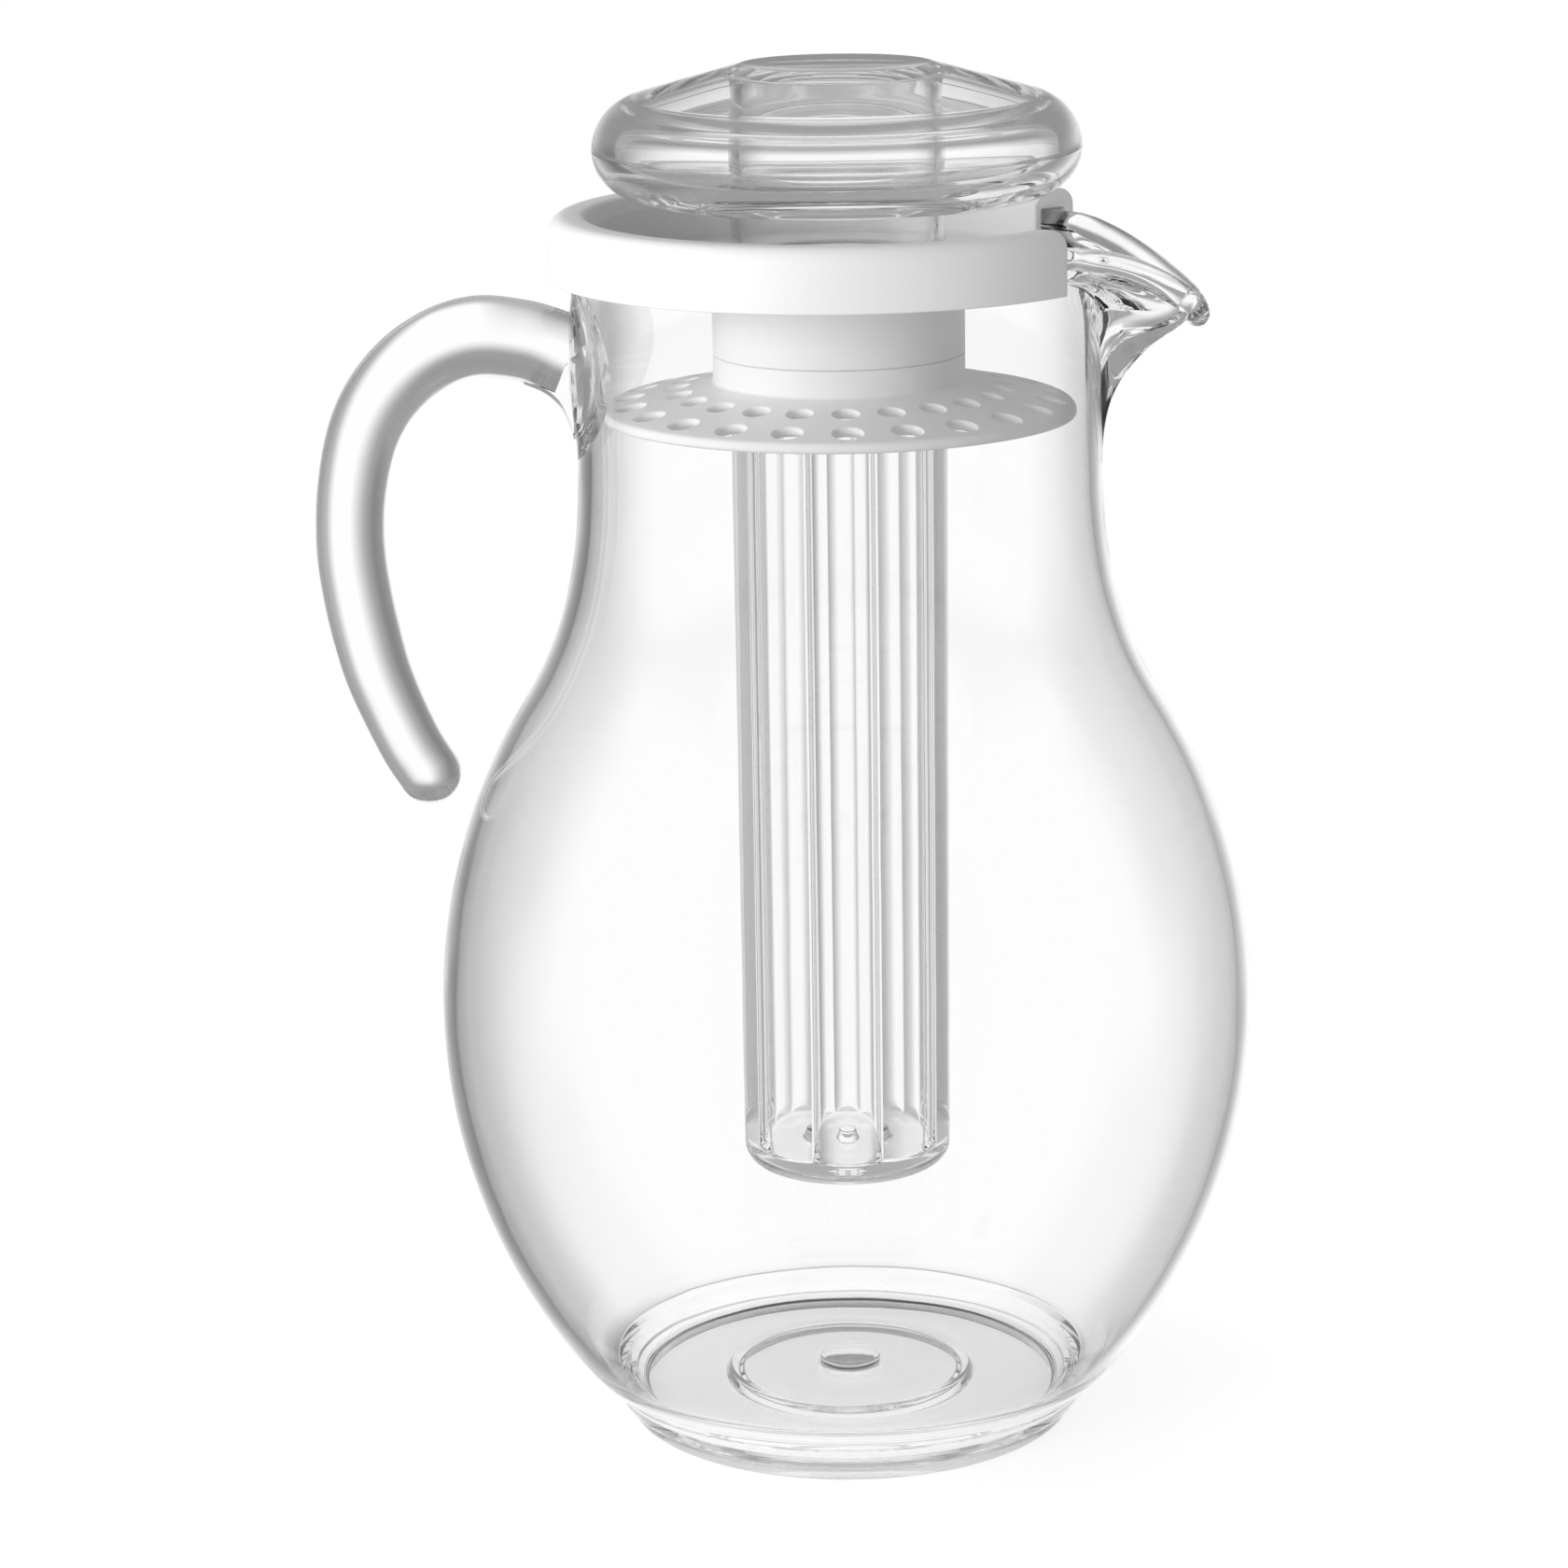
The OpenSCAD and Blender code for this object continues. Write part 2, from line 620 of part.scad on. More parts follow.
// The seal ring stands out of its groove and stops just short of the tube
seal_out_share = 0.35;
seal_play = 0.05;
seal_r = mouth_r - seal_play - seal_d / 2;
plug_out_r = seal_r + seal_d / 2 - seal_d * seal_out_share;
seal_z = seat_z - plug_h / 2;
edge_in_r = cap_r - cap_round;
cone_turn = 70;
stem_top_z = disc_z - disc_dish - disc_t;
function edge_up(inset, a) = [edge_in_r + (cap_round - inset) * cos(a), cap_seam_z + (cap_up - inset) * sin(a)];
function edge_down(inset, a) = [edge_in_r + (cap_round - inset) * cos(a), cap_seam_z - (cap_down - inset) * sin(a)];
bowl_low_z = cap_seam_z - cap_down;
plug_low_z = seat_z - plug_h;
plug_top_z = seat_z + stem_wall;
plug_round_share = 0.2;
module cap_top() {
    color("gainsboro", 0.35)
        rotate_extrude()
            polygon(concat(
                [for (a = [0:10:cone_turn]) edge_up(0, a)],
                [[disc_r, disc_z], [disc_r - disc_dish, disc_z], [disc_r - 3 * disc_dish, disc_z - disc_dish],
                    [0, disc_z - disc_dish], [0, stem_top_z], [stem_r, stem_top_z]],
                [for (a = [cone_turn:-10:0]) edge_up(cap_wall, a)]
            ));
}
module cap_base() {
    in_r = stem_r - stem_wall;
    plug_in_r = plug_out_r - plug_wall;
    plug_round = plug_in_r * plug_round_share;
    color("gainsboro", 0.35)
        difference() {
            rotate_extrude()
                polygon(concat(
                    [[0, plug_low_z], [plug_out_r, plug_low_z], [plug_out_r, seat_z], [stem_r, seat_z],
                        [stem_r, bowl_low_z]],
                    [for (a = [90:-10:0]) edge_down(0, a)],
                    [for (a = [0:10:90]) edge_down(cap_wall, a)],
                    [[stem_r, bowl_low_z + cap_wall], [stem_r, stem_top_z], [in_r, stem_top_z],
                        [in_r, plug_top_z], [plug_in_r, plug_top_z]],
                    [for (a = [0:15:90]) [plug_in_r - plug_round * (1 - cos(a)),
                        plug_low_z + plug_wall + plug_round * (1 - sin(a))]],
                    [[0, plug_low_z + plug_wall]]
                ));
            rotate_extrude() translate([seal_r, seal_z]) circle(d = seal_d);
        }
}
module plug_seal() {
    color("whitesmoke") rotate_extrude() translate([seal_r, seal_z]) circle(d = seal_d);
}

jug_body();
spout();
handle();
lid_ring();
strainer();
ice_tube();
plug_seal();
cap_base();
cap_top();
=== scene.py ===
"""Looks of a clear pitcher with a strainer lid and a lift-out ice tube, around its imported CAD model.

Sizes in the code are in millimetres and become metres when a mesh is made.
The origin is on the jug's axis at the plane it stands on, +Z is up and +X is the spout.
"""

import math

import bmesh
import bpy
import numpy as np
from bpy.props import FloatProperty, FloatVectorProperty, IntProperty, PointerProperty
from mathutils import Matrix, Vector


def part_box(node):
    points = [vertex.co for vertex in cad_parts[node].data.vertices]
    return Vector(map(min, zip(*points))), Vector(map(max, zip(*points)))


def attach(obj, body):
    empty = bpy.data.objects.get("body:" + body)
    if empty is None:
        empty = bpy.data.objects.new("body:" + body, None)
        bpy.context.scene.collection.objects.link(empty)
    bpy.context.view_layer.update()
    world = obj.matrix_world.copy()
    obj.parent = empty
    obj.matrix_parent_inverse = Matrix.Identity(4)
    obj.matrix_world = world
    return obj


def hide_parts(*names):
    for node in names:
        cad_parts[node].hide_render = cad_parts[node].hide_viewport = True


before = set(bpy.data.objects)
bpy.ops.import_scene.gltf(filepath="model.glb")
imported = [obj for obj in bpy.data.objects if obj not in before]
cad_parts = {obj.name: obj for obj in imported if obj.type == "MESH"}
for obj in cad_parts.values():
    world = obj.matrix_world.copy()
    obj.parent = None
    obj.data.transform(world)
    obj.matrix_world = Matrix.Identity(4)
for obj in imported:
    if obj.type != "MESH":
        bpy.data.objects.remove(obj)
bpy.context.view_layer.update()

bl_info = {
    "name": "Pitcher with ice tube",
    "version": (1, 0, 0),
    "blender": (4, 5, 0),
    "location": "View3D > Sidebar > Pitcher",
    "description": "Makes a clear pitcher with a strainer lid, a fluted ice tube and a hollow cap",
    "category": "Add Mesh",
}

MM = 0.001
PHOTO_SIDE_PX = 1680


def metres(value_mm):
    return value_mm * MM


def box_mm(node):
    """Lowest and highest corner of a CAD node, in millimetres."""
    low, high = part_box(node)
    return np.array(low) / MM, np.array(high) / MM


def linear(hex_colour):
    """An sRGB hex colour as linear red, green and blue."""
    parts = [int(hex_colour[i : i + 2], 16) / 255 for i in (1, 3, 5)]
    return tuple(c / 12.92 if c <= 0.04045 else ((c + 0.055) / 1.055) ** 2.4 for c in parts)


# ---- sizes and finishes


def length_property(name, description, value_mm):
    return FloatProperty(
        name=name, description=description, default=metres(value_mm), min=0.0, precision=4, unit="LENGTH"
    )


def colour_property(name, description, hex_colour):
    return FloatVectorProperty(
        name=name, description=description, default=linear(hex_colour), min=0, max=1, subtype="COLOR"
    )


class PitcherSizes(bpy.types.PropertyGroup):
    """Sizes that the CAD model gives or that a user may change"""

    rim_z: length_property("Rim height", "Height of the top of the jug's rim", box_mm("jug_body")[1][2])
    belly_r: length_property("Belly radius", "Largest outer radius of the jug", box_mm("jug_body")[1][1])
    neck_r: length_property("Neck radius", "Outer radius of the straight neck", 52.1)
    wall: length_property("Jug wall", "Wall of the jug", 2.6)
    reach: length_property("Spout reach", "Distance of the spout's tip from the axis", box_mm("spout")[1][0])
    ring_r: length_property("Lid radius", "Outer radius of the lid's ring", box_mm("lid_ring")[1][1])
    plate_r: length_property("Strainer radius", "Outer radius of the strainer", box_mm("strainer")[1][1])
    tube_low_z: length_property("Tube bottom", "Height of the ice tube's bottom", box_mm("ice_tube")[0][2])
    cap_r: length_property("Cap radius", "Largest radius of the cap", box_mm("cap_top")[1][1])
    cap_z: length_property("Cap height", "Height of the cap's top", box_mm("cap_top")[1][2])
    holes: IntProperty(name="Holes", description="Holes in each row", default=23, min=8, max=40)
    flutes: IntProperty(name="Flutes", description="Flutes round the tube's bore", default=8, min=6, max=12)

    def mm(self, name):
        return getattr(self, name) / MM


class PitcherFinishes(bpy.types.PropertyGroup):
    """Colours of the pitcher's plastics and of the stage"""

    clear: colour_property("Clear plastic", "Tint of the clear plastic", "#FEFEFE")
    white: colour_property("White plastic", "Colour of the lid and the strainer", "#EDEDED")
    seal: colour_property("Seal", "Colour of the cap's seal ring", "#E5E5E5")
    floor: colour_property("Floor", "Colour of the floor", "#F4F4F4")


# ---- meshes


def smoothstep(t):
    t = np.clip(t, 0.0, 1.0)
    return t * t * (3 - 2 * t)


def fillet(points, steps=5):
    """A line through (r, z) points in which a point with a third number is rounded to that radius."""
    line = []
    for i, point in enumerate(points):
        here = np.array(point[:2], float)
        if len(point) < 3 or i in (0, len(points) - 1):
            line.append(here)
            continue
        a = np.array(points[i - 1][:2], float) - here
        b = np.array(points[i + 1][:2], float) - here
        la, lb = np.linalg.norm(a), np.linalg.norm(b)
        a, b = a / la, b / lb
        half = math.acos(np.clip(a @ b, -1, 1)) / 2
        cut = min(point[2] / math.tan(half), 0.48 * la, 0.48 * lb)
        radius = cut * math.tan(half)
        middle = here + (a + b) / np.linalg.norm(a + b) * radius / math.sin(half)
        start, end = here + a * cut - middle, here + b * cut - middle
        turn = math.atan2(start[0] * end[1] - start[1] * end[0], start @ end)
        for k in range(steps + 1):
            c, s = math.cos(turn * k / steps), math.sin(turn * k / steps)
            line.append(middle + np.array([c * start[0] - s * start[1], s * start[0] + c * start[1]]))
    return np.array(line)


def divided(line, longest):
    """The same line with extra points, so that no stretch is longer than that."""
    out = [line[0]]
    for a, b in zip(line[:-1], line[1:]):
        count = max(1, math.ceil(np.linalg.norm(b - a) / longest))
        out += [a + (b - a) * (k + 1) / count for k in range(count)]
    return np.array(out)


def curve_through(points, count):
    """Evenly spread points on a smooth curve through the given ones."""
    p = np.array(points, float)
    ends = np.vstack([2 * p[0] - p[1], p, 2 * p[-1] - p[-2]])
    fine = []
    for i in range(1, len(ends) - 2):
        a, b, c, d = ends[i - 1 : i + 3]
        for t in np.linspace(0, 1, 24, endpoint=False):
            square, cube = 2 * a - 5 * b + 4 * c - d, 3 * b - a - 3 * c + d
            fine.append(0.5 * (2 * b + (c - a) * t + square * t**2 + cube * t**3))
    fine = np.array(fine + [p[-1]])
    run = np.concatenate([[0], np.cumsum(np.linalg.norm(np.diff(fine, axis=0), axis=1))])
    at = np.linspace(0, run[-1], count)
    return np.stack([np.interp(at, run, fine[:, k]) for k in range(fine.shape[1])], 1)


def turned(profile, angles):
    """Columns of a profile of (r, z) points turned about the axis."""
    c, s = np.cos(angles)[:, None], np.sin(angles)[:, None]
    r, z = profile[None, :, 0], profile[None, :, 1]
    return np.stack([r * c, r * s, np.broadcast_to(z, (len(angles), len(profile)))], -1)


def all_round(count):
    return np.linspace(0, 2 * math.pi, count, endpoint=False)


def skin(columns, round_trip=True, loop=False):
    """A mesh over columns of points.

    round_trip joins the last column to the first, and loop joins each column's ends.
    """
    count, length = columns.shape[:2]
    faces = []
    for i in range(count if round_trip else count - 1):
        j = (i + 1) % count
        for k in range(length if loop else length - 1):
            m = (k + 1) % length
            faces.append((i * length + k, j * length + k, j * length + m, i * length + m))
    if loop and not round_trip:
        faces.append(tuple(range(length)))
        faces.append(tuple((count - 1) * length + k for k in reversed(range(length))))
    return columns.reshape(-1, 3), faces


def mesh_from(name, parts):
    """One mesh from several closed skins, in metres, with doubles merged and faces pointing outwards."""
    whole = bmesh.new()
    for points, faces in parts:
        part = bmesh.new()
        verts = [part.verts.new(metres(1) * Vector(p)) for p in points]
        for face in faces:
            corners = list(dict.fromkeys(face))
            if len(corners) > 2:
                part.faces.new([verts[i] for i in corners])
        bmesh.ops.remove_doubles(part, verts=part.verts, dist=metres(0.002))
        bmesh.ops.dissolve_degenerate(part, edges=part.edges, dist=metres(0.001))
        if part.calc_volume(signed=True) < 0:
            bmesh.ops.reverse_faces(part, faces=part.faces)
        piece = bpy.data.meshes.new(name)
        part.to_mesh(piece)
        part.free()
        whole.from_mesh(piece)
        bpy.data.meshes.remove(piece)
    mesh = bpy.data.meshes.new(name)
    whole.to_mesh(mesh)
    whole.free()
    return mesh


def shade(mesh, angle=32):
    """Smooth shading, with edges sharper than the angle left sharp."""
    mesh.polygons.foreach_set("use_smooth", [True] * len(mesh.polygons))
    mesh.set_sharp_from_angle(angle=math.radians(angle))


def add_object(name, mesh):
    piece = bpy.data.objects.new(name, mesh)
    bpy.context.scene.collection.objects.link(piece)
    return piece


def finished(piece):
    """The piece with its modifiers made part of its mesh."""
    graph = bpy.context.evaluated_depsgraph_get()
    mesh = bpy.data.meshes.new_from_object(piece.evaluated_get(graph))
    piece.modifiers.clear()
    piece.data = mesh
    return piece


def joined(piece, others):
    """The piece united with the others into one closed solid."""
    for other in others:
        union = piece.modifiers.new("Union", "BOOLEAN")
        union.operation = "UNION"
        union.solver = "EXACT"
        union.object = other
        finished(piece)
        bpy.data.objects.remove(other)
    return piece


def declare(piece, body, nodes, material):
    piece.data.materials.clear()
    piece.data.materials.append(material)
    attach(piece, body)
    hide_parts(*nodes)
    return piece


# ---- materials

# Between these heights the plastic's shadow fades from the first share of light let through to the second
SHADOW_Z = (150, 210)
SHADOW_CLEARNESS = (0.93, 0.985)


def add_node(tree, kind, settings=None, inputs=None):
    """Adds a node, sets its properties and its inputs, and links inputs that are given as sockets."""
    node = tree.nodes.new(kind)
    for key, value in (settings or {}).items():
        setattr(node, key, value)
    for key, value in (inputs or {}).items():
        if isinstance(value, bpy.types.NodeSocket):
            tree.links.new(value, node.inputs[key])
        else:
            node.inputs[key].default_value = value
    return node


def new_material(name):
    material = bpy.data.materials.get(name)
    if material:
        return material, None
    material = bpy.data.materials.new(name)
    material.use_nodes = True
    material.node_tree.nodes.clear()
    return material, material.node_tree


def maths(tree, operation, a, b=0.0, c=0.0):
    return add_node(tree, "ShaderNodeMath", {"operation": operation}, {0: a, 1: b, 2: c}).outputs[0]


def map_range(tree, value, low, high, to_low=0.0, to_high=1.0, kind="LINEAR"):
    inputs = {0: value, 1: low, 2: high, 3: to_low, 4: to_high}
    return add_node(tree, "ShaderNodeMapRange", {"interpolation_type": kind}, inputs).outputs[0]


def mix_shader(tree, factor, a, b):
    return add_node(tree, "ShaderNodeMixShader", None, {0: factor, 1: a, 2: b}).outputs[0]


def object_place(tree):
    return add_node(tree, "ShaderNodeTexCoord").outputs["Object"]


def noise(tree, place, scale, detail):
    return add_node(
        tree, "ShaderNodeTexNoise", None, {"Vector": place, "Scale": scale, "Detail": detail}
    ).outputs[0]


def bump(tree, height, strength, distance):
    return add_node(
        tree, "ShaderNodeBump", None, {"Height": height, "Strength": strength, "Distance": distance}
    ).outputs[0]


def principled(tree, colour, inputs):
    inputs = {"Base Color": (*colour, 1), **inputs}
    return add_node(tree, "ShaderNodeBsdfPrincipled", None, inputs).outputs[0]


def show(tree, shader, output="ShaderNodeOutputMaterial"):
    add_node(tree, output, None, {"Surface": shader})


def clear_plastic(finishes):
    """Injection-moulded clear styrene acrylonitrile: bright edges, slight moulding waves in what it bends."""
    material, tree = new_material("Moulded clear SAN")
    if tree is None:
        return material
    place = object_place(tree)
    # Flow waves about 18 mm apart, which only show where the light grazes the wall
    waves = bump(tree, noise(tree, place, 55.0, 1.0), 0.02, 0.002)
    look = {"Roughness": 0.0, "IOR": 1.5, "Transmission Weight": 1.0, "Normal": waves}
    plastic = principled(tree, finishes.clear, look)
    # The light that falls through clear plastic leaves a faint shadow on the floor, and hardly one in the lid
    height = add_node(tree, "ShaderNodeSeparateXYZ", None, {0: place}).outputs["Z"]
    low, high = map(metres, SHADOW_Z)
    let_through = map_range(tree, height, low, high, *SHADOW_CLEARNESS)
    seen_through = add_node(tree, "ShaderNodeBsdfTransparent", None, {"Color": let_through}).outputs[0]
    in_shadow = add_node(tree, "ShaderNodeLightPath").outputs["Is Shadow Ray"]
    show(tree, mix_shader(tree, in_shadow, plastic, seen_through))
    return material


def white_plastic(finishes):
    """Injection-moulded white polypropylene: an even satin surface with a very fine grain."""
    material, tree = new_material("Moulded white polypropylene")
    if tree is None:
        return material
    place = object_place(tree)
    # Grain of about 0.7 mm, coarser than the real one so that it shows
    grain = bump(tree, noise(tree, place, 1400.0, 2.0), 0.05, 0.0001)
    # Cloudy differences of gloss from the mould
    gloss = map_range(tree, noise(tree, place, 60.0, 3.0), 0.3, 0.7, 0.36, 0.46)
    show(tree, principled(tree, finishes.white, {"Roughness": gloss, "IOR": 1.49, "Normal": grain}))
    return material


def seal_rubber(finishes):
    """Moulded silicone rubber: dull, with a very fine grain."""
    material, tree = new_material("Moulded silicone")
    if tree is None:
        return material
    dust = bump(tree, noise(tree, object_place(tree), 900.0, 2.0), 0.1, 0.0001)
    show(tree, principled(tree, finishes.seal, {"Roughness": 0.6, "IOR": 1.41, "Normal": dust}))
    return material


# ---- jug

FOOT_H = 8.6
BASE_R = 52.7
BELLY_Z = 87.0
SHOULDER = (64.4, 150.0)
NECK_Z = 203.0
FLOOR_Z = 5.6
RIM_BEAD = (2.3, 2.1)
SPOUT_WALL = 2.9
TIP_BEAD_R = 2.5
KEEL_Z = 199.0
SPOUT_ROOT_DEG = 33.0
LIP_ROOT_X = 43.7
LIP_DROP = 15.2
TIP_TURN_R = 3.2
NOSE_DROP = 1.5
NOSE_HALF = 4.2
NOSE_FROM_X = 60
# The line of the spout's lips in plan, as distance from the axis and half width
LIP_PLAN = ((48.0, 25.4), (52.3, 20.6), (57.0, 14.9), (60.5, 10.9), (63.9, 7.4), (66.6, 5.2), (68.8, 3.7))
# Where the spout's flank leaves the neck: half width and height
CREASE = ((0.0, 199.0), (3.0, 209.0), (5.7, 219.8), (7.2, 224.6), (10.3, 229.7), (14.6, 234.9), (19.6, 238.6))
# The floor inside, from the wall to the moulding gate on its round step
FLOOR = (
    (46.6, 9.6, 0.6), (43.6, 5.6, 0.6), (25.9, 5.6, 0.9), (25.0, 7.6, 0.9), (6.6, 7.6, 0.3), (6.1, 9.2, 1.3),
    (0, 10.2),
)
UNDERSIDE = (
    (0, 5.0), (22.5, 5.0, 0.5), (23.2, 3.0, 0.5), (43.3, 3.0, 0.8), (44.2, 0.0, 0.5), (46.0, 0.0, 0.8),
    (47.9, 3.5, 0.3), (48.6, 3.8, 0.3), (50.4, 8.2, 0.4), (52.2, 8.6, 0.3),
)


def jug_outside(sizes):
    """The jug's outer surface from the foot to the start of the spout's keel."""
    belly_r, neck_r = sizes.mm("belly_r"), sizes.mm("neck_r")

    def arc(dz, dr, z):
        radius = (dz * dz + dr * dr) / (2 * dr)
        return belly_r - (radius - math.sqrt(radius * radius - z * z))

    foot_dz, foot_dr = BELLY_Z - FOOT_H, belly_r - BASE_R
    low = [(arc(foot_dz, foot_dr, BELLY_Z - z), z) for z in np.linspace(FOOT_H, BELLY_Z, 36)]
    dz, dr = SHOULDER[1] - BELLY_Z, belly_r - SHOULDER[0]
    high = [(arc(dz, dr, z - BELLY_Z), z) for z in np.linspace(BELLY_Z, SHOULDER[1], 30)[1:]]
    radius = (dz * dz + dr * dr) / (2 * dr)
    slope, run = -dz / (radius - dr), NECK_Z - SHOULDER[1]
    neck = []
    for t in np.linspace(0, (KEEL_Z - SHOULDER[1]) / run, 30)[1:]:
        bend = SHOULDER[0] * (2 * t**3 - 3 * t**2 + 1) + slope * run * (t**3 - 2 * t**2 + t)
        neck.append((bend + neck_r * (3 * t**2 - 2 * t**3), SHOULDER[1] + run * t))
    return np.array(low + high + neck)


def moved_in(line, wall):
    """The line moved inwards by the wall, square to itself."""
    ahead = np.gradient(line, axis=0)
    ahead /= np.linalg.norm(ahead, axis=1)[:, None]
    return line + wall * np.stack([-ahead[:, 1], ahead[:, 0]], 1)


def lip_top(sizes, x):
    """Height of the top of the spout's lips at a distance from the axis."""
    share = np.clip((x - LIP_ROOT_X) / (sizes.mm("reach") - LIP_ROOT_X), 0, None)
    return sizes.mm("rim_z") - LIP_DROP * share**1.9


def jug_lip(sizes):
    """Places round the whole lip: centre, outward direction in plan, how far along the spout, neck angle."""
    neck_r = sizes.mm("neck_r")
    tip_x = sizes.mm("reach") - TIP_BEAD_R
    mid_r = neck_r - sizes.mm("wall") + RIM_BEAD[0]
    root = math.radians(SPOUT_ROOT_DEG)
    turn = TIP_TURN_R
    end = [(tip_x - turn + turn * math.sin(a), turn * math.cos(a)) for a in np.radians([25, 50, 70])]
    start = [(mid_r * math.cos(root + d), mid_r * math.sin(root + d)) for d in (0.10, 0.0)]
    side = curve_through(start + list(LIP_PLAN) + end + [(tip_x, 0.0)], 64)
    side = side[np.arctan2(side[:, 1], side[:, 0]) <= root]
    spout = np.vstack([side, side[-2::-1] * [1, -1]])
    half = len(side) - 1
    shares = np.concatenate([np.arange(len(side)), np.arange(half - 1, -1, -1)]) / half
    neck_angles = root * (1 - shares) * np.where(np.arange(len(spout)) <= half, 1, -1)
    rest = np.linspace(-root, root - 2 * math.pi, 230)[1:-1]
    plan = np.vstack([spout, mid_r * np.stack([np.cos(rest), np.sin(rest)], 1)])
    shares = np.concatenate([shares, np.zeros(len(rest))])
    angles = np.concatenate([neck_angles, rest])
    ahead = np.roll(plan, -1, 0) - np.roll(plan, 1, 0)
    ahead /= np.linalg.norm(ahead, axis=1)[:, None]
    outward = np.stack([-ahead[:, 1], ahead[:, 0]], 1)
    # Over the straight neck the lip faces away from the axis
    x = plan[:, 0]
    out = smoothstep((x - 44.5) / 7) * (shares > 0)
    radius = RIM_BEAD[1] + (TIP_BEAD_R - RIM_BEAD[1]) * out
    width = RIM_BEAD[0] + (TIP_BEAD_R - RIM_BEAD[0]) * out
    nose = np.clip(1 - np.abs(plan[:, 1]) / NOSE_HALF, 0, 1) * (x > NOSE_FROM_X)
    z = np.where(shares > 0, lip_top(sizes, x), sizes.mm("rim_z")) - radius - NOSE_DROP * nose**1.5
    centre = np.column_stack([plan, z])
    return centre, outward, ahead, out, nose, radius, width, angles, shares


def jug_columns(sizes):
    """Columns over the jug's whole skin: underside, foot, outer wall, lip, inner wall and floor."""
    neck_r, wall = sizes.mm("neck_r"), sizes.mm("wall")
    outside = jug_outside(sizes)
    inside = moved_in(outside, wall)
    inside = inside[inside[:, 1] > FLOOR_Z + 9.0][::-1]
    floor = fillet([tuple(inside[-1]), *FLOOR])[1:]
    under = np.vstack([divided(fillet(UNDERSIDE, 4), 6.0), outside[1:]])
    inner = np.vstack([inside, divided(floor, 5.0)])
    centre, outward, ahead, out, nose, radius, width, angles, shares = jug_lip(sizes)
    columns = []
    neck_steps, flank_steps, bead_steps = 10, 22, 14
    widths, heights = zip(*CREASE)
    for i in range(len(centre)):
        c, s = math.cos(angles[i]), math.sin(angles[i])
        away = np.array([outward[i][0], outward[i][1], 0.0])
        run = np.array([ahead[i][0], ahead[i][1], 0.0])
        step = centre[(i + 1) % len(centre)] - centre[i - 1]
        run[2] = step[2] / max(1e-6, math.hypot(step[0], step[1]))
        run /= np.linalg.norm(run)
        up = np.cross(away, run)
        up *= np.sign(up[2])
        # The walls meet the rolled lip from below, and at the tip from behind
        half_wall = SPOUT_WALL / 2
        out_low = -math.acos(np.clip((0.3 + (half_wall - 0.3) * out[i]) / width[i], -1, 1))
        in_low = math.pi + math.acos(np.clip((width[i] + (half_wall - width[i]) * out[i]) / width[i], -1, 1))
        behind = smoothstep(nose[i])
        out_low += (math.radians(-150) - out_low) * behind
        in_low += (math.radians(150) - in_low) * behind
        bead_at = np.linspace(out_low, in_low, bead_steps)
        across_at, up_at = width[i] * np.cos(bead_at)[:, None], radius[i] * np.sin(bead_at)[:, None]
        bead = centre[i] + across_at * away + up_at * up
        # The flank of the spout, from its crease on the neck up to the lip
        lean = shares[i]
        across = neck_r * abs(s)
        crease_z = bead[0][2] - 2.5
        if lean > 0:
            crease_z = min(np.interp(across, widths, heights), crease_z)
        start = np.array([neck_r * c, neck_r * s, crease_z])
        low = [np.array([neck_r * c, neck_r * s, z]) for z in np.linspace(KEEL_Z, crease_z, neck_steps)[1:]]
        flank = flank_line(start, bead[0], lean, flank_steps, away, behind)
        in_r = neck_r - wall
        crease_in = min(crease_z + 4 + 7 * lean, bead[-1][2] - 2.5)
        start_in = np.array([in_r * c, in_r * s, crease_in])
        flank_in = flank_line(start_in, bead[-1], lean, flank_steps, away, behind)[::-1]
        high = [np.array([in_r * c, in_r * s, z]) for z in np.linspace(crease_in, KEEL_Z, neck_steps)[1:]]
        wall_low = turned(under, np.array([angles[i]]))[0]
        wall_in = turned(inner[inner[:, 1] < KEEL_Z - 1], np.array([angles[i]]))[0]
        columns.append(np.vstack([wall_low, low, flank[1:-1], bead, flank_in[1:], high, wall_in]))
    return np.array(columns)


def flank_line(start, end, lean, count, away, behind):
    """A curved line from the neck to the lip, which leaves the keel upright and meets the lip from below."""
    reach = np.linalg.norm(end - start)
    plan = end - start
    plan[2] = 0
    level = plan / max(1e-6, np.linalg.norm(plan))
    upright = np.array([0, 0, 1.0])
    leave = level * (1 - lean**3) * 0.55 + upright * 0.85
    leave /= np.linalg.norm(leave)
    meet = upright * (1 - behind) + (away + 0.25 * upright) * behind
    meet = meet * (0.35 + 0.65 * max(behind, 1 - lean)) + level * 0.35 * lean * (1 - behind)
    meet /= np.linalg.norm(meet)
    a = start + leave * reach * (0.3 + 0.16 * lean**2)
    b = end - meet * reach * 0.3
    t = np.linspace(0, 1, count)[:, None]
    return (1 - t) ** 3 * start + 3 * (1 - t) ** 2 * t * a + 3 * (1 - t) * t**2 * b + t**3 * end


class PITCHER_OT_jug(bpy.types.Operator):
    """Makes the clear jug with its foot, rolled rim and spout"""

    bl_idname = "pitcher.jug"
    bl_label = "Jug and spout"

    def execute(self, context):
        sizes, finishes = context.scene.pitcher_sizes, context.scene.pitcher_finishes
        mesh = mesh_from("jug_shell", [skin(jug_columns(sizes))])
        shade(mesh)
        jug = add_object("jug_shell", mesh)
        declare(jug, "jug", ["jug_body", "spout"], clear_plastic(finishes))
        return {"FINISHED"}


# ---- handle

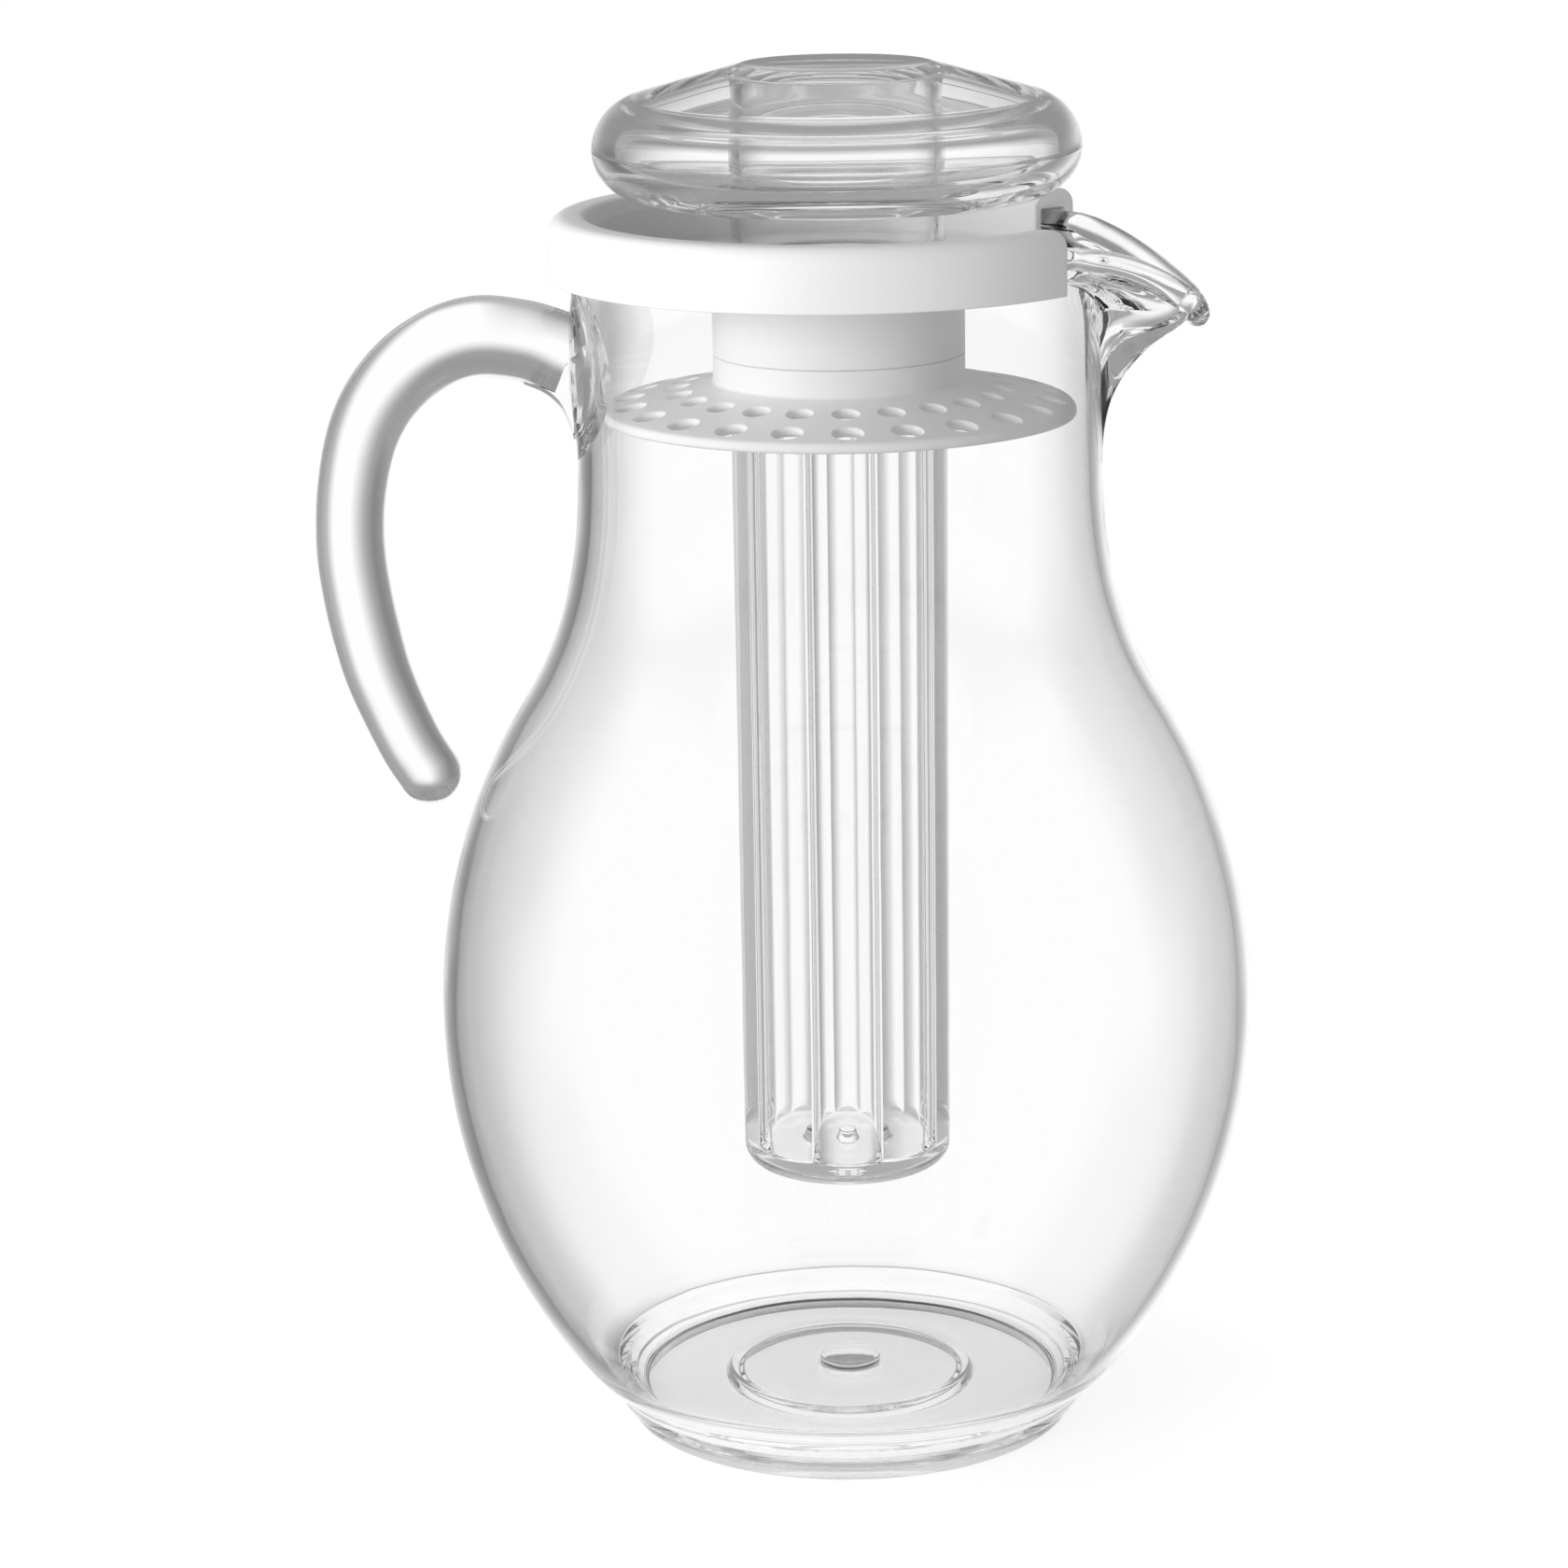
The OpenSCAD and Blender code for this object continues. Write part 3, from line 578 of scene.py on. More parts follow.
# Centre line of the bar from the neck to its free end: distance from the axis, height, radius
HANDLE_BAR = (
    (53.4, 219.4, 8.3), (58.0, 221.4, 8.1), (62.8, 222.8, 8.1), (71.0, 223.7, 8.2), (78.0, 222.3, 8.0),
    (84.6, 218.8, 7.7), (90.0, 213.8, 7.5), (94.0, 208.0, 7.3), (96.6, 201.5, 7.1), (98.3, 193.5, 7.0),
    (99.0, 186.0, 6.95), (98.9, 178.5, 7.0), (97.9, 170.5, 7.0), (96.4, 162.8, 6.95), (94.4, 155.0, 6.8),
    (91.4, 147.2, 6.6), (87.9, 139.6, 6.5), (84.6, 134.2, 6.4),
)
# Half width, lowest and highest point of the pad on the neck
SADDLE = (31.0, 199.5, 240.0)
SADDLE_T = 1.2
WELD_GAP = 0.05
# The web's lower edge as distance from the axis and height
WEB_EDGE = ((52.4, 203.8), (53.4, 206.8), (55.2, 210.3), (58.4, 213.0), (62.6, 214.6))
WEB_TOP = 219.0
# Shares of the half width, and how far the web's edge dips there
WEB_HOLLOW = ((-1, 0), (-0.6, 0.2), (0, 0.35), (0.6, 0.2), (1, 0))
# Half width of the web at the bar, and what it gains for each mm towards the neck
WEB_HALF = 3.0
WEB_GAIN = 0.26


def bar_skin(line, count):
    """A round bar in the plane of the handle, closed flat at the neck and rounded at its free end."""
    ahead = np.gradient(line[:, :2], axis=0)
    ahead /= np.linalg.norm(ahead, axis=1)[:, None]
    dome = np.radians(np.linspace(0, 89, 12))[1:]
    end, end_r = line[-1], line[-1][2]
    cap = [(*(end[:2] + ahead[-1] * end_r * math.sin(a)), end_r * math.cos(a)) for a in dome]
    line = np.vstack([line, cap])
    ahead = np.vstack([ahead, np.repeat(ahead[-1:], len(cap), 0)])
    round_at = all_round(count)
    rings = []
    for (x, z, r), (dx, dz) in zip(line, ahead):
        across = r * np.cos(round_at)
        rings.append(np.stack([-(x - dz * across), r * np.sin(round_at), z + dx * across], 1))
    rings = np.array(rings)
    points, faces = skin(rings, round_trip=False, loop=True)
    return points, faces


def saddle_skin(neck_r):
    """The oval pad that joins the bar to the neck, rounded off at its edge."""
    half, low, high = SADDLE
    middle, tall = (low + high) / 2, (high - low) / 2
    shares = np.linspace(0, 1, 25)
    rise = 1.0 - 0.95 * smoothstep((shares - 0.3) / 0.7)
    columns = []
    for a in all_round(96):
        def place(share, r):
            angle = math.asin(half * share * math.cos(a) / neck_r)
            return (-r * math.cos(angle), r * math.sin(angle), middle + tall * share * math.sin(a))

        outer = [place(s, neck_r + WELD_GAP + SADDLE_T * k) for s, k in zip(shares, rise)]
        inner = [place(s, neck_r + WELD_GAP) for s in shares[::-1][1:]]
        columns.append(outer + inner)
    return skin(np.array(columns))


def web_skin():
    """The web under the bar's root, hollow in outline and thicker towards the neck."""
    columns = []
    for x, z in curve_through(WEB_EDGE, 16):
        half = WEB_HALF + WEB_GAIN * (WEB_EDGE[-1][0] - x)
        low = [(share * half, z - dip) for share, dip in WEB_HOLLOW]
        columns.append([(-x, y, h) for y, h in low + [(half, WEB_TOP), (0, WEB_TOP), (-half, WEB_TOP)]])
    return skin(np.array(columns), round_trip=False, loop=True)


class PITCHER_OT_handle(bpy.types.Operator):
    """Makes the solid clear handle with the pad and web that join it to the neck"""

    bl_idname = "pitcher.handle"
    bl_label = "Handle"

    def execute(self, context):
        sizes, finishes = context.scene.pitcher_sizes, context.scene.pitcher_finishes
        neck_r = sizes.mm("neck_r")
        bar_parts = [bar_skin(curve_through(HANDLE_BAR, 110), 72)]
        bar = add_object("handle_bar", mesh_from("handle_bar", bar_parts))
        saddle = add_object("saddle", mesh_from("saddle", [saddle_skin(neck_r)]))
        web = add_object("web", mesh_from("web", [web_skin()]))
        joined(bar, [web, saddle])
        shade(bar.data, 40)
        declare(bar, "jug", ["handle"], clear_plastic(finishes))
        return {"FINISHED"}


# ---- lid

THROAT_IN_R = 21.95
THROAT_R = 25.0
SEAM_Z = 220.8
LID_FLOOR_Z = 238.0
LID_UNDER_Z = 235.8
SKIRT_Z = (236.3, 244.8)
SKIRT_T = 1.9
FLOOR_IN_R = 24.9
GAP_HALF = 36.5
COLLAR_R = (47.5, 49.1)
THROAT = (
    (THROAT_IN_R, 227.8), (23.6, 227.8, 0.2), (23.6, SEAM_Z, 0.2), (THROAT_R, SEAM_Z, 0.3),
    (THROAT_R, LID_UNDER_Z, 0.6), (26.6, LID_UNDER_Z), (26.6, LID_FLOOR_Z), (23.5, LID_FLOOR_Z, 0.3),
    (23.5, 236.2, 0.1), (THROAT_IN_R, 236.2, 0.2),
)


def lid_profile(ring_r):
    """The section of the lid's floor, collar and ring."""
    skirt_r = ring_r - SKIRT_T
    low, high = SKIRT_Z
    return fillet(
        (
            (FLOOR_IN_R, LID_FLOOR_Z), (COLLAR_R[0], LID_FLOOR_Z, 1.4), (COLLAR_R[0], 245.7, 0.7),
            (49.9, 248.6, 2.0), (ring_r, 248.7, 4.1), (ring_r, low, 0.35), (skirt_r, low, 0.35),
            (skirt_r, high, 0.8), (COLLAR_R[1], high, 0.4), (COLLAR_R[1], LID_UNDER_Z, 0.8),
            (FLOOR_IN_R, LID_UNDER_Z),
        ),
        6,
    )


class PITCHER_OT_lid(bpy.types.Operator):
    """Makes the white lid: ring, collar, recessed floor and throat, open towards the spout"""

    bl_idname = "pitcher.lid"
    bl_label = "Lid"

    def execute(self, context):
        sizes, finishes = context.scene.pitcher_sizes, context.scene.pitcher_finishes
        arc = np.radians(np.linspace(GAP_HALF, 360 - GAP_HALF, 240))
        ring = skin(turned(divided(lid_profile(sizes.mm("ring_r")), 4.0), arc), round_trip=False, loop=True)
        throat = skin(turned(fillet(THROAT, 4), all_round(192)), loop=True)
        lid = add_object("lid_ring_white", mesh_from("lid_ring_white", [ring, throat]))
        bevel = lid.modifiers.new("Ends", "BEVEL")
        bevel.width = metres(0.5)
        bevel.segments = 3
        bevel.limit_method = "ANGLE"
        bevel.angle_limit = math.radians(50)
        finished(lid)
        shade(lid.data)
        declare(lid, "lid", ["lid_ring"], white_plastic(finishes))
        return {"FINISHED"}


# ---- strainer

PLATE_SLOPE = 12.2
PLATE_Z = 215.3
PLATE_T = 2.3
PLATE_ROUND = 1.1
SPIGOT_R = 23.3
SPIGOT_Z = 226.8
SEAM_LOW_Z = SEAM_Z - 0.06
# Distance from the axis and width of the holes in each row
ROWS = ((41.6, 5.7), (32.1, 5.0))
HOLE_TURN = -5.9
# One countersunk hole as what it takes away, in half widths and half thicknesses of the plate
HOLE = np.array([
    (0, -3.0), (1.35, -3.0), (1.3, -1.1), (1.08, -0.5), (1.0, -0.1), (1.0, 0.62), (1.04, 0.8),
    (1.12, 0.98), (1.3, 1.15), (1.3, 3), (0, 3),
])


def plate_top(r):
    return PLATE_Z - (r - THROAT_R) * math.tan(math.radians(PLATE_SLOPE))


def strainer_profile(plate_r):
    rim, under_z = plate_top(plate_r), PLATE_Z - PLATE_T
    return fillet(
        (
            (THROAT_IN_R, SPIGOT_Z), (SPIGOT_R, SPIGOT_Z, 0.3), (SPIGOT_R, SEAM_LOW_Z, 0.2),
            (THROAT_R, SEAM_LOW_Z, 0.3), (THROAT_R, PLATE_Z, 0.7), (plate_r, rim, PLATE_ROUND),
            (plate_r, rim - PLATE_T, PLATE_ROUND), (THROAT_R, under_z, 1.0),
            (THROAT_IN_R, under_z + 0.4, 0.3),
        ),
        6,
    )


def node_group(name, inputs):
    """A Geometry Nodes tree with the named inputs, and the sockets that give them."""
    tree = bpy.data.node_groups.new(name, "GeometryNodeTree")
    face = tree.interface
    face.new_socket("Geometry", in_out="INPUT", socket_type="NodeSocketGeometry")
    for label, (kind, value) in inputs.items():
        face.new_socket(label, in_out="INPUT", socket_type="NodeSocket" + kind).default_value = value
    face.new_socket("Plastic", in_out="INPUT", socket_type="NodeSocketMaterial")
    face.new_socket("Geometry", in_out="OUTPUT", socket_type="NodeSocketGeometry")
    return tree, add_node(tree, "NodeGroupInput").outputs


def give(tree, geometry, plastic):
    """Gives the geometry its material and hands it out of the tree."""
    dressed = add_node(tree, "GeometryNodeSetMaterial", None, {"Geometry": geometry, "Material": plastic})
    add_node(tree, "NodeGroupOutput", None, {0: dressed.outputs[0]})


def hole_tree(cutters):
    """Geometry Nodes that take rows of holes out of the plate."""
    inputs = {"Holes": ("Int", 23), "Turn": ("Float", 0.0), "Slope": ("Float", 0.0)}
    for row in range(1, len(cutters) + 1):
        inputs[f"Row {row} radius"] = ("Float", 0.04)
        inputs[f"Row {row} height"] = ("Float", 0.2)
    tree, given = node_group("Strainer holes", inputs)

    def combined(**parts):
        return add_node(tree, "ShaderNodeCombineXYZ", None, parts).outputs[0]

    rows = []
    for row, cutter in enumerate(cutters, 1):
        ring = {"Vertices": given["Holes"], "Radius": given[f"Row {row} radius"]}
        circle = add_node(tree, "GeometryNodeMeshCircle", None, ring).outputs[0]
        height = combined(Z=given[f"Row {row} height"])
        spin = combined(Z=given["Turn"])
        move = {"Geometry": circle, "Translation": height, "Rotation": spin}
        placed = add_node(tree, "GeometryNodeTransform", None, move).outputs[0]
        where = add_node(tree, "GeometryNodeInputPosition").outputs[0]
        apart = add_node(tree, "ShaderNodeSeparateXYZ", None, {0: where}).outputs
        facing = combined(Y=given["Slope"], Z=maths(tree, "ARCTAN2", apart[1], apart[0]))
        shape = add_node(tree, "GeometryNodeObjectInfo", None, {"Object": cutter}).outputs["Geometry"]
        copies = {"Points": placed, "Instance": shape, "Rotation": facing}
        rows.append(add_node(tree, "GeometryNodeInstanceOnPoints", None, copies))
    together = add_node(tree, "GeometryNodeJoinGeometry")
    for row in rows:
        tree.links.new(row.outputs[0], together.inputs[0])
    real = add_node(tree, "GeometryNodeRealizeInstances", None, {0: together.outputs[0]})
    cut = add_node(tree, "GeometryNodeMeshBoolean", {"operation": "DIFFERENCE", "solver": "EXACT"})
    tree.links.new(given["Geometry"], cut.inputs["Mesh 1"])
    tree.links.new(real.outputs[0], cut.inputs["Mesh 2"])
    give(tree, cut.outputs[0], given["Plastic"])
    return tree


def apply_tree(piece, tree, values):
    """Runs a Geometry Nodes tree on the piece with the named inputs and keeps the mesh."""
    modifier = piece.modifiers.new(tree.name, "NODES")
    modifier.node_group = tree
    ids = {s.name: s.identifier for s in tree.interface.items_tree if s.in_out == "INPUT"}
    for name, value in values.items():
        modifier[ids[name]] = value
    return finished(piece)


class PITCHER_OT_strainer(bpy.types.Operator):
    """Makes the white strainer with its collar and two rows of countersunk holes"""

    bl_idname = "pitcher.strainer"
    bl_label = "Strainer"

    def execute(self, context):
        sizes, finishes = context.scene.pitcher_sizes, context.scene.pitcher_finishes
        plastic = white_plastic(finishes)
        profile = divided(strainer_profile(sizes.mm("plate_r")), 3.5)
        plate_parts = [skin(turned(profile, all_round(184)), loop=True)]
        plate = add_object("strainer_white", mesh_from("strainer_white", plate_parts))
        turn, slope = math.radians(HOLE_TURN), math.radians(PLATE_SLOPE)
        values = {"Holes": sizes.holes, "Turn": turn, "Slope": slope, "Plastic": plastic}
        cutters = []
        for row, (radius, width) in enumerate(ROWS):
            shape = HOLE * [width / 2, PLATE_T / 2]
            cutter = add_object(f"hole_{row}", mesh_from(f"hole_{row}", [skin(turned(shape, all_round(28)))]))
            cutter.hide_render = True
            cutters.append(cutter)
            values[f"Row {row + 1} radius"] = metres(radius)
            values[f"Row {row + 1} height"] = metres(plate_top(radius) - PLATE_T / 2)
        apply_tree(plate, hole_tree(cutters), values)
        for cutter in cutters:
            bpy.data.objects.remove(cutter)
        shade(plate.data, 38)
        declare(plate, "strainer", ["strainer"], plastic)
        return {"FINISHED"}


# ---- ice tube

TUBE_R = 21.6
TUBE_LOW_R = 21.2
FLUTE_R = 20.0
RIDGE_R = 17.6
MOUTH_R = 20.1
MOUTH_Z = 223.5
FLANGE_R = 23.1
FLANGE_Z = (236.2, 238.0)
FLUTE_TURN = 3.8
# The flutes fade out over the bore's bottom between these distances from the axis
FADE_R = (6.0, 17.0)


def tube_profiles(low_z):
    """The sections of the tube's outside up to the mouth, and of its bore."""
    under, top = FLANGE_Z
    outer = fillet(
        (
            (0, low_z + 0.3), (1.6, low_z + 0.3, 0.2), (2.0, low_z, 0.2), (TUBE_LOW_R, low_z, 4.0),
            (TUBE_R, under), (FLANGE_R, under, 0.2), (FLANGE_R, top, 0.5), (MOUTH_R, top, 0.6),
            (MOUTH_R, MOUTH_Z + 0.8, 0.4),
        ),
        7,
    )
    bore = fillet(
        (
            (FLUTE_R, MOUTH_Z), (FLUTE_R, low_z + 4.4, 1.6), (4.2, low_z + 4.2, 1.0), (3.0, low_z + 6.2, 0.8),
            (0, low_z + 6.8),
        ),
        7,
    )
    return divided(outer, 5.0), divided(bore, 4.0)


def flute_tree():
    """Geometry Nodes that press the flutes into the part of the tube that is marked for them."""
    sizes = {"Flutes": 8.0, "Turn": 0.0, "Arc": 0.0106, "Centre": 0.009, "Round": 0.0197}
    tree, given = node_group("Flutes", {name: ("Float", value) for name, value in sizes.items()})
    where = add_node(tree, "GeometryNodeInputPosition").outputs[0]
    apart = add_node(tree, "ShaderNodeSeparateXYZ", None, {0: where}).outputs
    angle = maths(tree, "SUBTRACT", maths(tree, "ARCTAN2", apart[1], apart[0]), given["Turn"])
    half = maths(tree, "DIVIDE", maths(tree, "DIVIDE", 2 * math.pi, given["Flutes"]), 2.0)
    # Angle from the middle of the nearest flute
    local = maths(tree, "WRAP", angle, half, maths(tree, "MULTIPLY", half, -1.0))
    side = maths(tree, "MULTIPLY", given["Centre"], maths(tree, "SINE", local))
    arc, off = (maths(tree, "MULTIPLY", length, length) for length in (given["Arc"], side))
    ahead = maths(tree, "MULTIPLY", given["Centre"], maths(tree, "COSINE", local))
    reach = maths(tree, "ADD", ahead, maths(tree, "SQRT", maths(tree, "SUBTRACT", arc, off)))
    share = maths(tree, "DIVIDE", reach, given["Round"])
    named = add_node(tree, "GeometryNodeInputNamedAttribute", {"data_type": "FLOAT"}, {"Name": "fluted"})
    change = maths(tree, "MULTIPLY", named.outputs[0], maths(tree, "SUBTRACT", share, 1.0))
    scale = maths(tree, "ADD", 1.0, change)
    x, y = (maths(tree, "MULTIPLY", part, scale) for part in apart[:2])
    moved = add_node(tree, "ShaderNodeCombineXYZ", None, {0: x, 1: y, 2: apart[2]}).outputs[0]
    press = {"Geometry": given["Geometry"], "Position": moved}
    pressed = add_node(tree, "GeometryNodeSetPosition", None, press).outputs[0]
    real = add_node(tree, "GeometryNodeRealizeInstances", None, {0: pressed}).outputs[0]
    give(tree, real, given["Plastic"])
    return tree


class PITCHER_OT_ice_tube(bpy.types.Operator):
    """Makes the clear ice tube with flutes inside, a round mouth and a flange"""

    bl_idname = "pitcher.ice_tube"
    bl_label = "Ice tube"

    def execute(self, context):
        sizes, finishes = context.scene.pitcher_sizes, context.scene.pitcher_finishes
        plastic = clear_plastic(finishes)
        low_z, turn = sizes.mm("tube_low_z"), math.radians(FLUTE_TURN)
        columns = turned(np.vstack(tube_profiles(low_z)), all_round(40 * sizes.flutes) + turn)
        mesh = mesh_from("ice_tube_clear", [skin(columns)])
        mark = mesh.attributes.new("fluted", "FLOAT", "POINT")
        start, full = FADE_R
        for vert, value in zip(mesh.vertices, mark.data):
            x, y, z = (c / MM for c in vert.co)
            r = math.hypot(x, y)
            in_bore = z < MOUTH_Z + 0.1 and r < FLUTE_R + 0.2 and z > low_z + 3.9
            value.value = min(1.0, max(0.0, (r - start) / (full - start))) if in_bore else 0.0
        tube = add_object("ice_tube_clear", mesh)
        pitch = math.pi / sizes.flutes
        chord = RIDGE_R * math.sin(pitch)
        rise = FLUTE_R - RIDGE_R * math.cos(pitch)
        arc = (chord * chord + rise * rise) / (2 * rise)
        values = {
            "Flutes": float(sizes.flutes), "Turn": turn, "Arc": metres(arc),
            "Centre": metres(FLUTE_R - arc), "Round": metres(FLUTE_R), "Plastic": plastic,
        }
        apply_tree(tube, flute_tree(), values)
        shade(tube.data, 22)
        declare(tube, "tube", ["ice_tube"], plastic)
        return {"FINISHED"}


# ---- cap

CAP_SEAM_Z = 261.0
CAP_UP = 10.7
CAP_DOWN = 9.6
CAP_ROUND = 11.0
CAP_WALL = 4.6
DISC_R = 19.6
DISH_R = 17.6
SEAM_GAP = 0.03
# Inner and outer radius, low and high end of the stem
STEM = (19.1, 21.2)
STEM_Z = (238.04, 273.2)
# Inner and outer radius and low end of the plug, and the thickness of its bottom
PLUG = (17.3, 19.28, 226.5)
PLUG_BOTTOM = 2.1


def cap_edge(cap_r, inset, height, angles, up):
    """Part of the cap's rounded edge, moved in by the inset, above (up is 1) or below (-1) its seam."""
    centre, tall = cap_r - CAP_ROUND, height - inset
    return [
        (centre + (CAP_ROUND - inset) * math.cos(a), CAP_SEAM_Z + up * SEAM_GAP + up * tall * math.sin(a))
        for a in np.radians(angles)
    ]


def cap_dome(cap_r, top_z):
    """The section of the cap's upper half, from the middle of the disc out to the seam and back inside."""
    dish = [(r, top_z - 1.0 + 0.9 * (r / DISH_R) ** 2) for r in np.linspace(0, DISH_R, 12)]
    edge = cap_edge(cap_r, 0, CAP_UP, np.linspace(70, 0, 18), 1)
    inner = cap_edge(cap_r, CAP_WALL, CAP_UP, np.linspace(0, 60, 14), 1)
    lip = [(18.8, top_z, 0.8), (DISC_R + 0.4, top_z - 0.35, 1.5)]
    line = fillet(dish + lip + [(*edge[0], 3.5)] + edge[1:], 7)
    under = [(STEM[1] + 1.0, top_z - 3.6, 3.0), (0, top_z - 3.9)]
    back = fillet(inner[:-1] + [(*inner[-1], 3.0)] + under, 7)
    return np.vstack([line, back])


def cap_bowl(cap_r):
    """The section of the cap's lower half with its stem and plug, which is closed at its bottom."""
    low = CAP_SEAM_Z - CAP_DOWN
    edge = cap_edge(cap_r, 0, CAP_DOWN, np.linspace(90, 0, 20), -1)
    inner = cap_edge(cap_r, CAP_WALL, CAP_DOWN, np.linspace(0, 90, 18), -1)
    stem_in, stem_out = STEM
    stem_low, stem_high = STEM_Z
    plug_in, plug_out, plug_low = PLUG
    first = [
        (0, plug_low), (plug_out, plug_low, 0.8), (plug_out, stem_low, 0.2), (stem_out, stem_low, 0.4),
        (stem_out, low, 0.9), (cap_r - CAP_ROUND - 3, low),
    ]
    last = [
        (stem_out, low + CAP_WALL, 0.9), (stem_out, stem_high, 0.4), (stem_in, stem_high, 0.4),
        (stem_in, 240.1, 0.8), (plug_in, 239.0, 0.8), (plug_in, plug_low + PLUG_BOTTOM, 3.0),
        (0, plug_low + PLUG_BOTTOM),
    ]
    return np.vstack([fillet(first + edge), fillet([*inner, *last])])


class PITCHER_OT_cap(bpy.types.Operator):
    """Makes the hollow clear cap: a dome with a dished disc, and a bowl with stem and plug"""

    bl_idname = "pitcher.cap"
    bl_label = "Cap"

    def execute(self, context):
        sizes, finishes = context.scene.pitcher_sizes, context.scene.pitcher_finishes
        plastic = clear_plastic(finishes)
        halves = {
            "cap_dome_clear": ("cap_top", cap_dome(sizes.mm("cap_r"), sizes.mm("cap_z"))),
            "cap_bowl_clear": ("cap_base", cap_bowl(sizes.mm("cap_r"))),
        }
        for name, (node, profile) in halves.items():
            mesh = mesh_from(name, [skin(turned(divided(profile, 4.0), all_round(288)))])
            shade(mesh)
            declare(add_object(name, mesh), "cap", [node], plastic)
        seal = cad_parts["plug_seal"]
        seal.data.materials.clear()
        seal.data.materials.append(seal_rubber(finishes))
        return {"FINISHED"}


# ---- stage

CAMERA_AT = (59.65, -898.02, 363.80)
CAMERA_HEADING = 4.571
CAMERA_DOWN = 14.4268
CAMERA_ROLL = -0.8324
FOCAL_PX = 4910.4
SENSOR_WIDTH = 36.0
FLOOR_R = 300.0
# Grey of the room round the object, by the angle away from straight behind it as a share of half a turn
ROOM_LEFT = (
    (0.0, 1.0), (0.025, 1.0), (0.053, 0.8), (0.082, 0.58), (0.115, 0.38), (0.15, 0.275), (0.195, 0.18),
    (0.25, 0.2), (0.35, 0.3), (0.42, 0.9), (0.5, 1.0), (1.0, 1.0),
)
ROOM_RIGHT = (
    (0.0, 1.0), (0.09, 1.0), (0.11, 0.82), (0.153, 0.45), (0.226, 0.31), (0.34, 0.3), (0.43, 0.85),
    (0.52, 1.0), (1.0, 1.0),
)
CEILING_GREY = 0.29
GROUND_GREY = 0.4
# Place, what it points at, size and power of each lamp
LAMPS = {
    "back_left": ((-600, 450, 900), (0, 0, 60), 400, 1.2),
    "left": ((-1000, -150, 420), (0, 0, 200), 400, 3.0),
    "front": ((-700, -900, 350), (0, 0, 150), 500, 7.5),
}
# Light crosses many walls of clear plastic here, and is often thrown back inside them
BOUNCES = 32


def grey(value):
    return (value, value, value, 1)


def grey_ramp(tree, factor, stops):
    """A colour ramp through places and greys."""
    ramp = add_node(tree, "ShaderNodeValToRGB", None, {0: factor})
    ramp.color_ramp.interpolation = "LINEAR"
    elements = ramp.color_ramp.elements
    for element, (place, value) in zip((elements[0], elements[1]), (stops[0], stops[-1])):
        element.position, element.color = place, grey(value)
    for place, value in stops[1:-1]:
        elements.new(place).color = grey(value)
    return ramp.outputs[0]


def mixed_grey(tree, factor, a, b):
    inputs = {"Factor": factor, "A": a, "B": b}
    return add_node(tree, "ShaderNodeMix", {"data_type": "RGBA"}, inputs).outputs[2]


def background(tree, colour, strength=1.0):
    return add_node(tree, "ShaderNodeBackground", None, {"Color": colour, "Strength": strength}).outputs[0]


def studio_world(world):
    """A white wall behind, white panels with dark gaps at the sides, and a lamp in a grey ceiling.

    The camera sees plain white, and dull surfaces get the soft light of the room from their left.
    """
    world.use_nodes = True
    tree = world.node_tree
    tree.nodes.clear()

    def between(value, low, high):
        return map_range(tree, value, low, high, kind="SMOOTHSTEP")

    way = add_node(tree, "ShaderNodeTexCoord").outputs["Generated"]
    apart = add_node(tree, "ShaderNodeSeparateXYZ", None, {0: way}).outputs
    # The wall stands square to the camera's heading
    round_at = maths(tree, "DIVIDE", maths(tree, "ARCTAN2", apart[0], apart[1]), math.pi)
    turned_by = maths(tree, "ADD", round_at, CAMERA_HEADING / 180)
    away = maths(tree, "ABSOLUTE", turned_by)
    left, right = (grey_ramp(tree, away, stops) for stops in (ROOM_LEFT, ROOM_RIGHT))
    room = mixed_grey(tree, maths(tree, "GREATER_THAN", turned_by, 0.0), left, right)
    # Only the half of the ceiling behind the object is dark
    overhead = maths(tree, "MULTIPLY", between(apart[2], -0.12, 0.14), between(away, 0.52, 0.4))
    room = mixed_grey(tree, overhead, room, grey(CEILING_GREY))
    room = mixed_grey(tree, between(apart[2], 0.66, 0.8), room, grey(1.0))
    room = mixed_grey(tree, between(apart[2], -0.7, -0.88), room, grey(GROUND_GREY))
    path = add_node(tree, "ShaderNodeLightPath").outputs
    from_left = map_range(tree, apart[0], -1.0, 1.0, 0.66, 0.38)
    from_side = map_range(tree, apart[2], 0.0, 1.0, 1.0, 0.8)
    soft = background(tree, grey(1.0), maths(tree, "MULTIPLY", from_left, from_side))
    # Light that a dull surface gets through clear plastic is soft too
    after_dull = maths(tree, "GREATER_THAN", path["Diffuse Depth"], 0.5)
    scattered = maths(tree, "MAXIMUM", path["Is Diffuse Ray"], after_dull)
    lit = mix_shader(tree, scattered, background(tree, room), soft)
    seen = mix_shader(tree, path["Is Camera Ray"], lit, background(tree, grey(1.0)))
    show(tree, seen, "ShaderNodeOutputWorld")


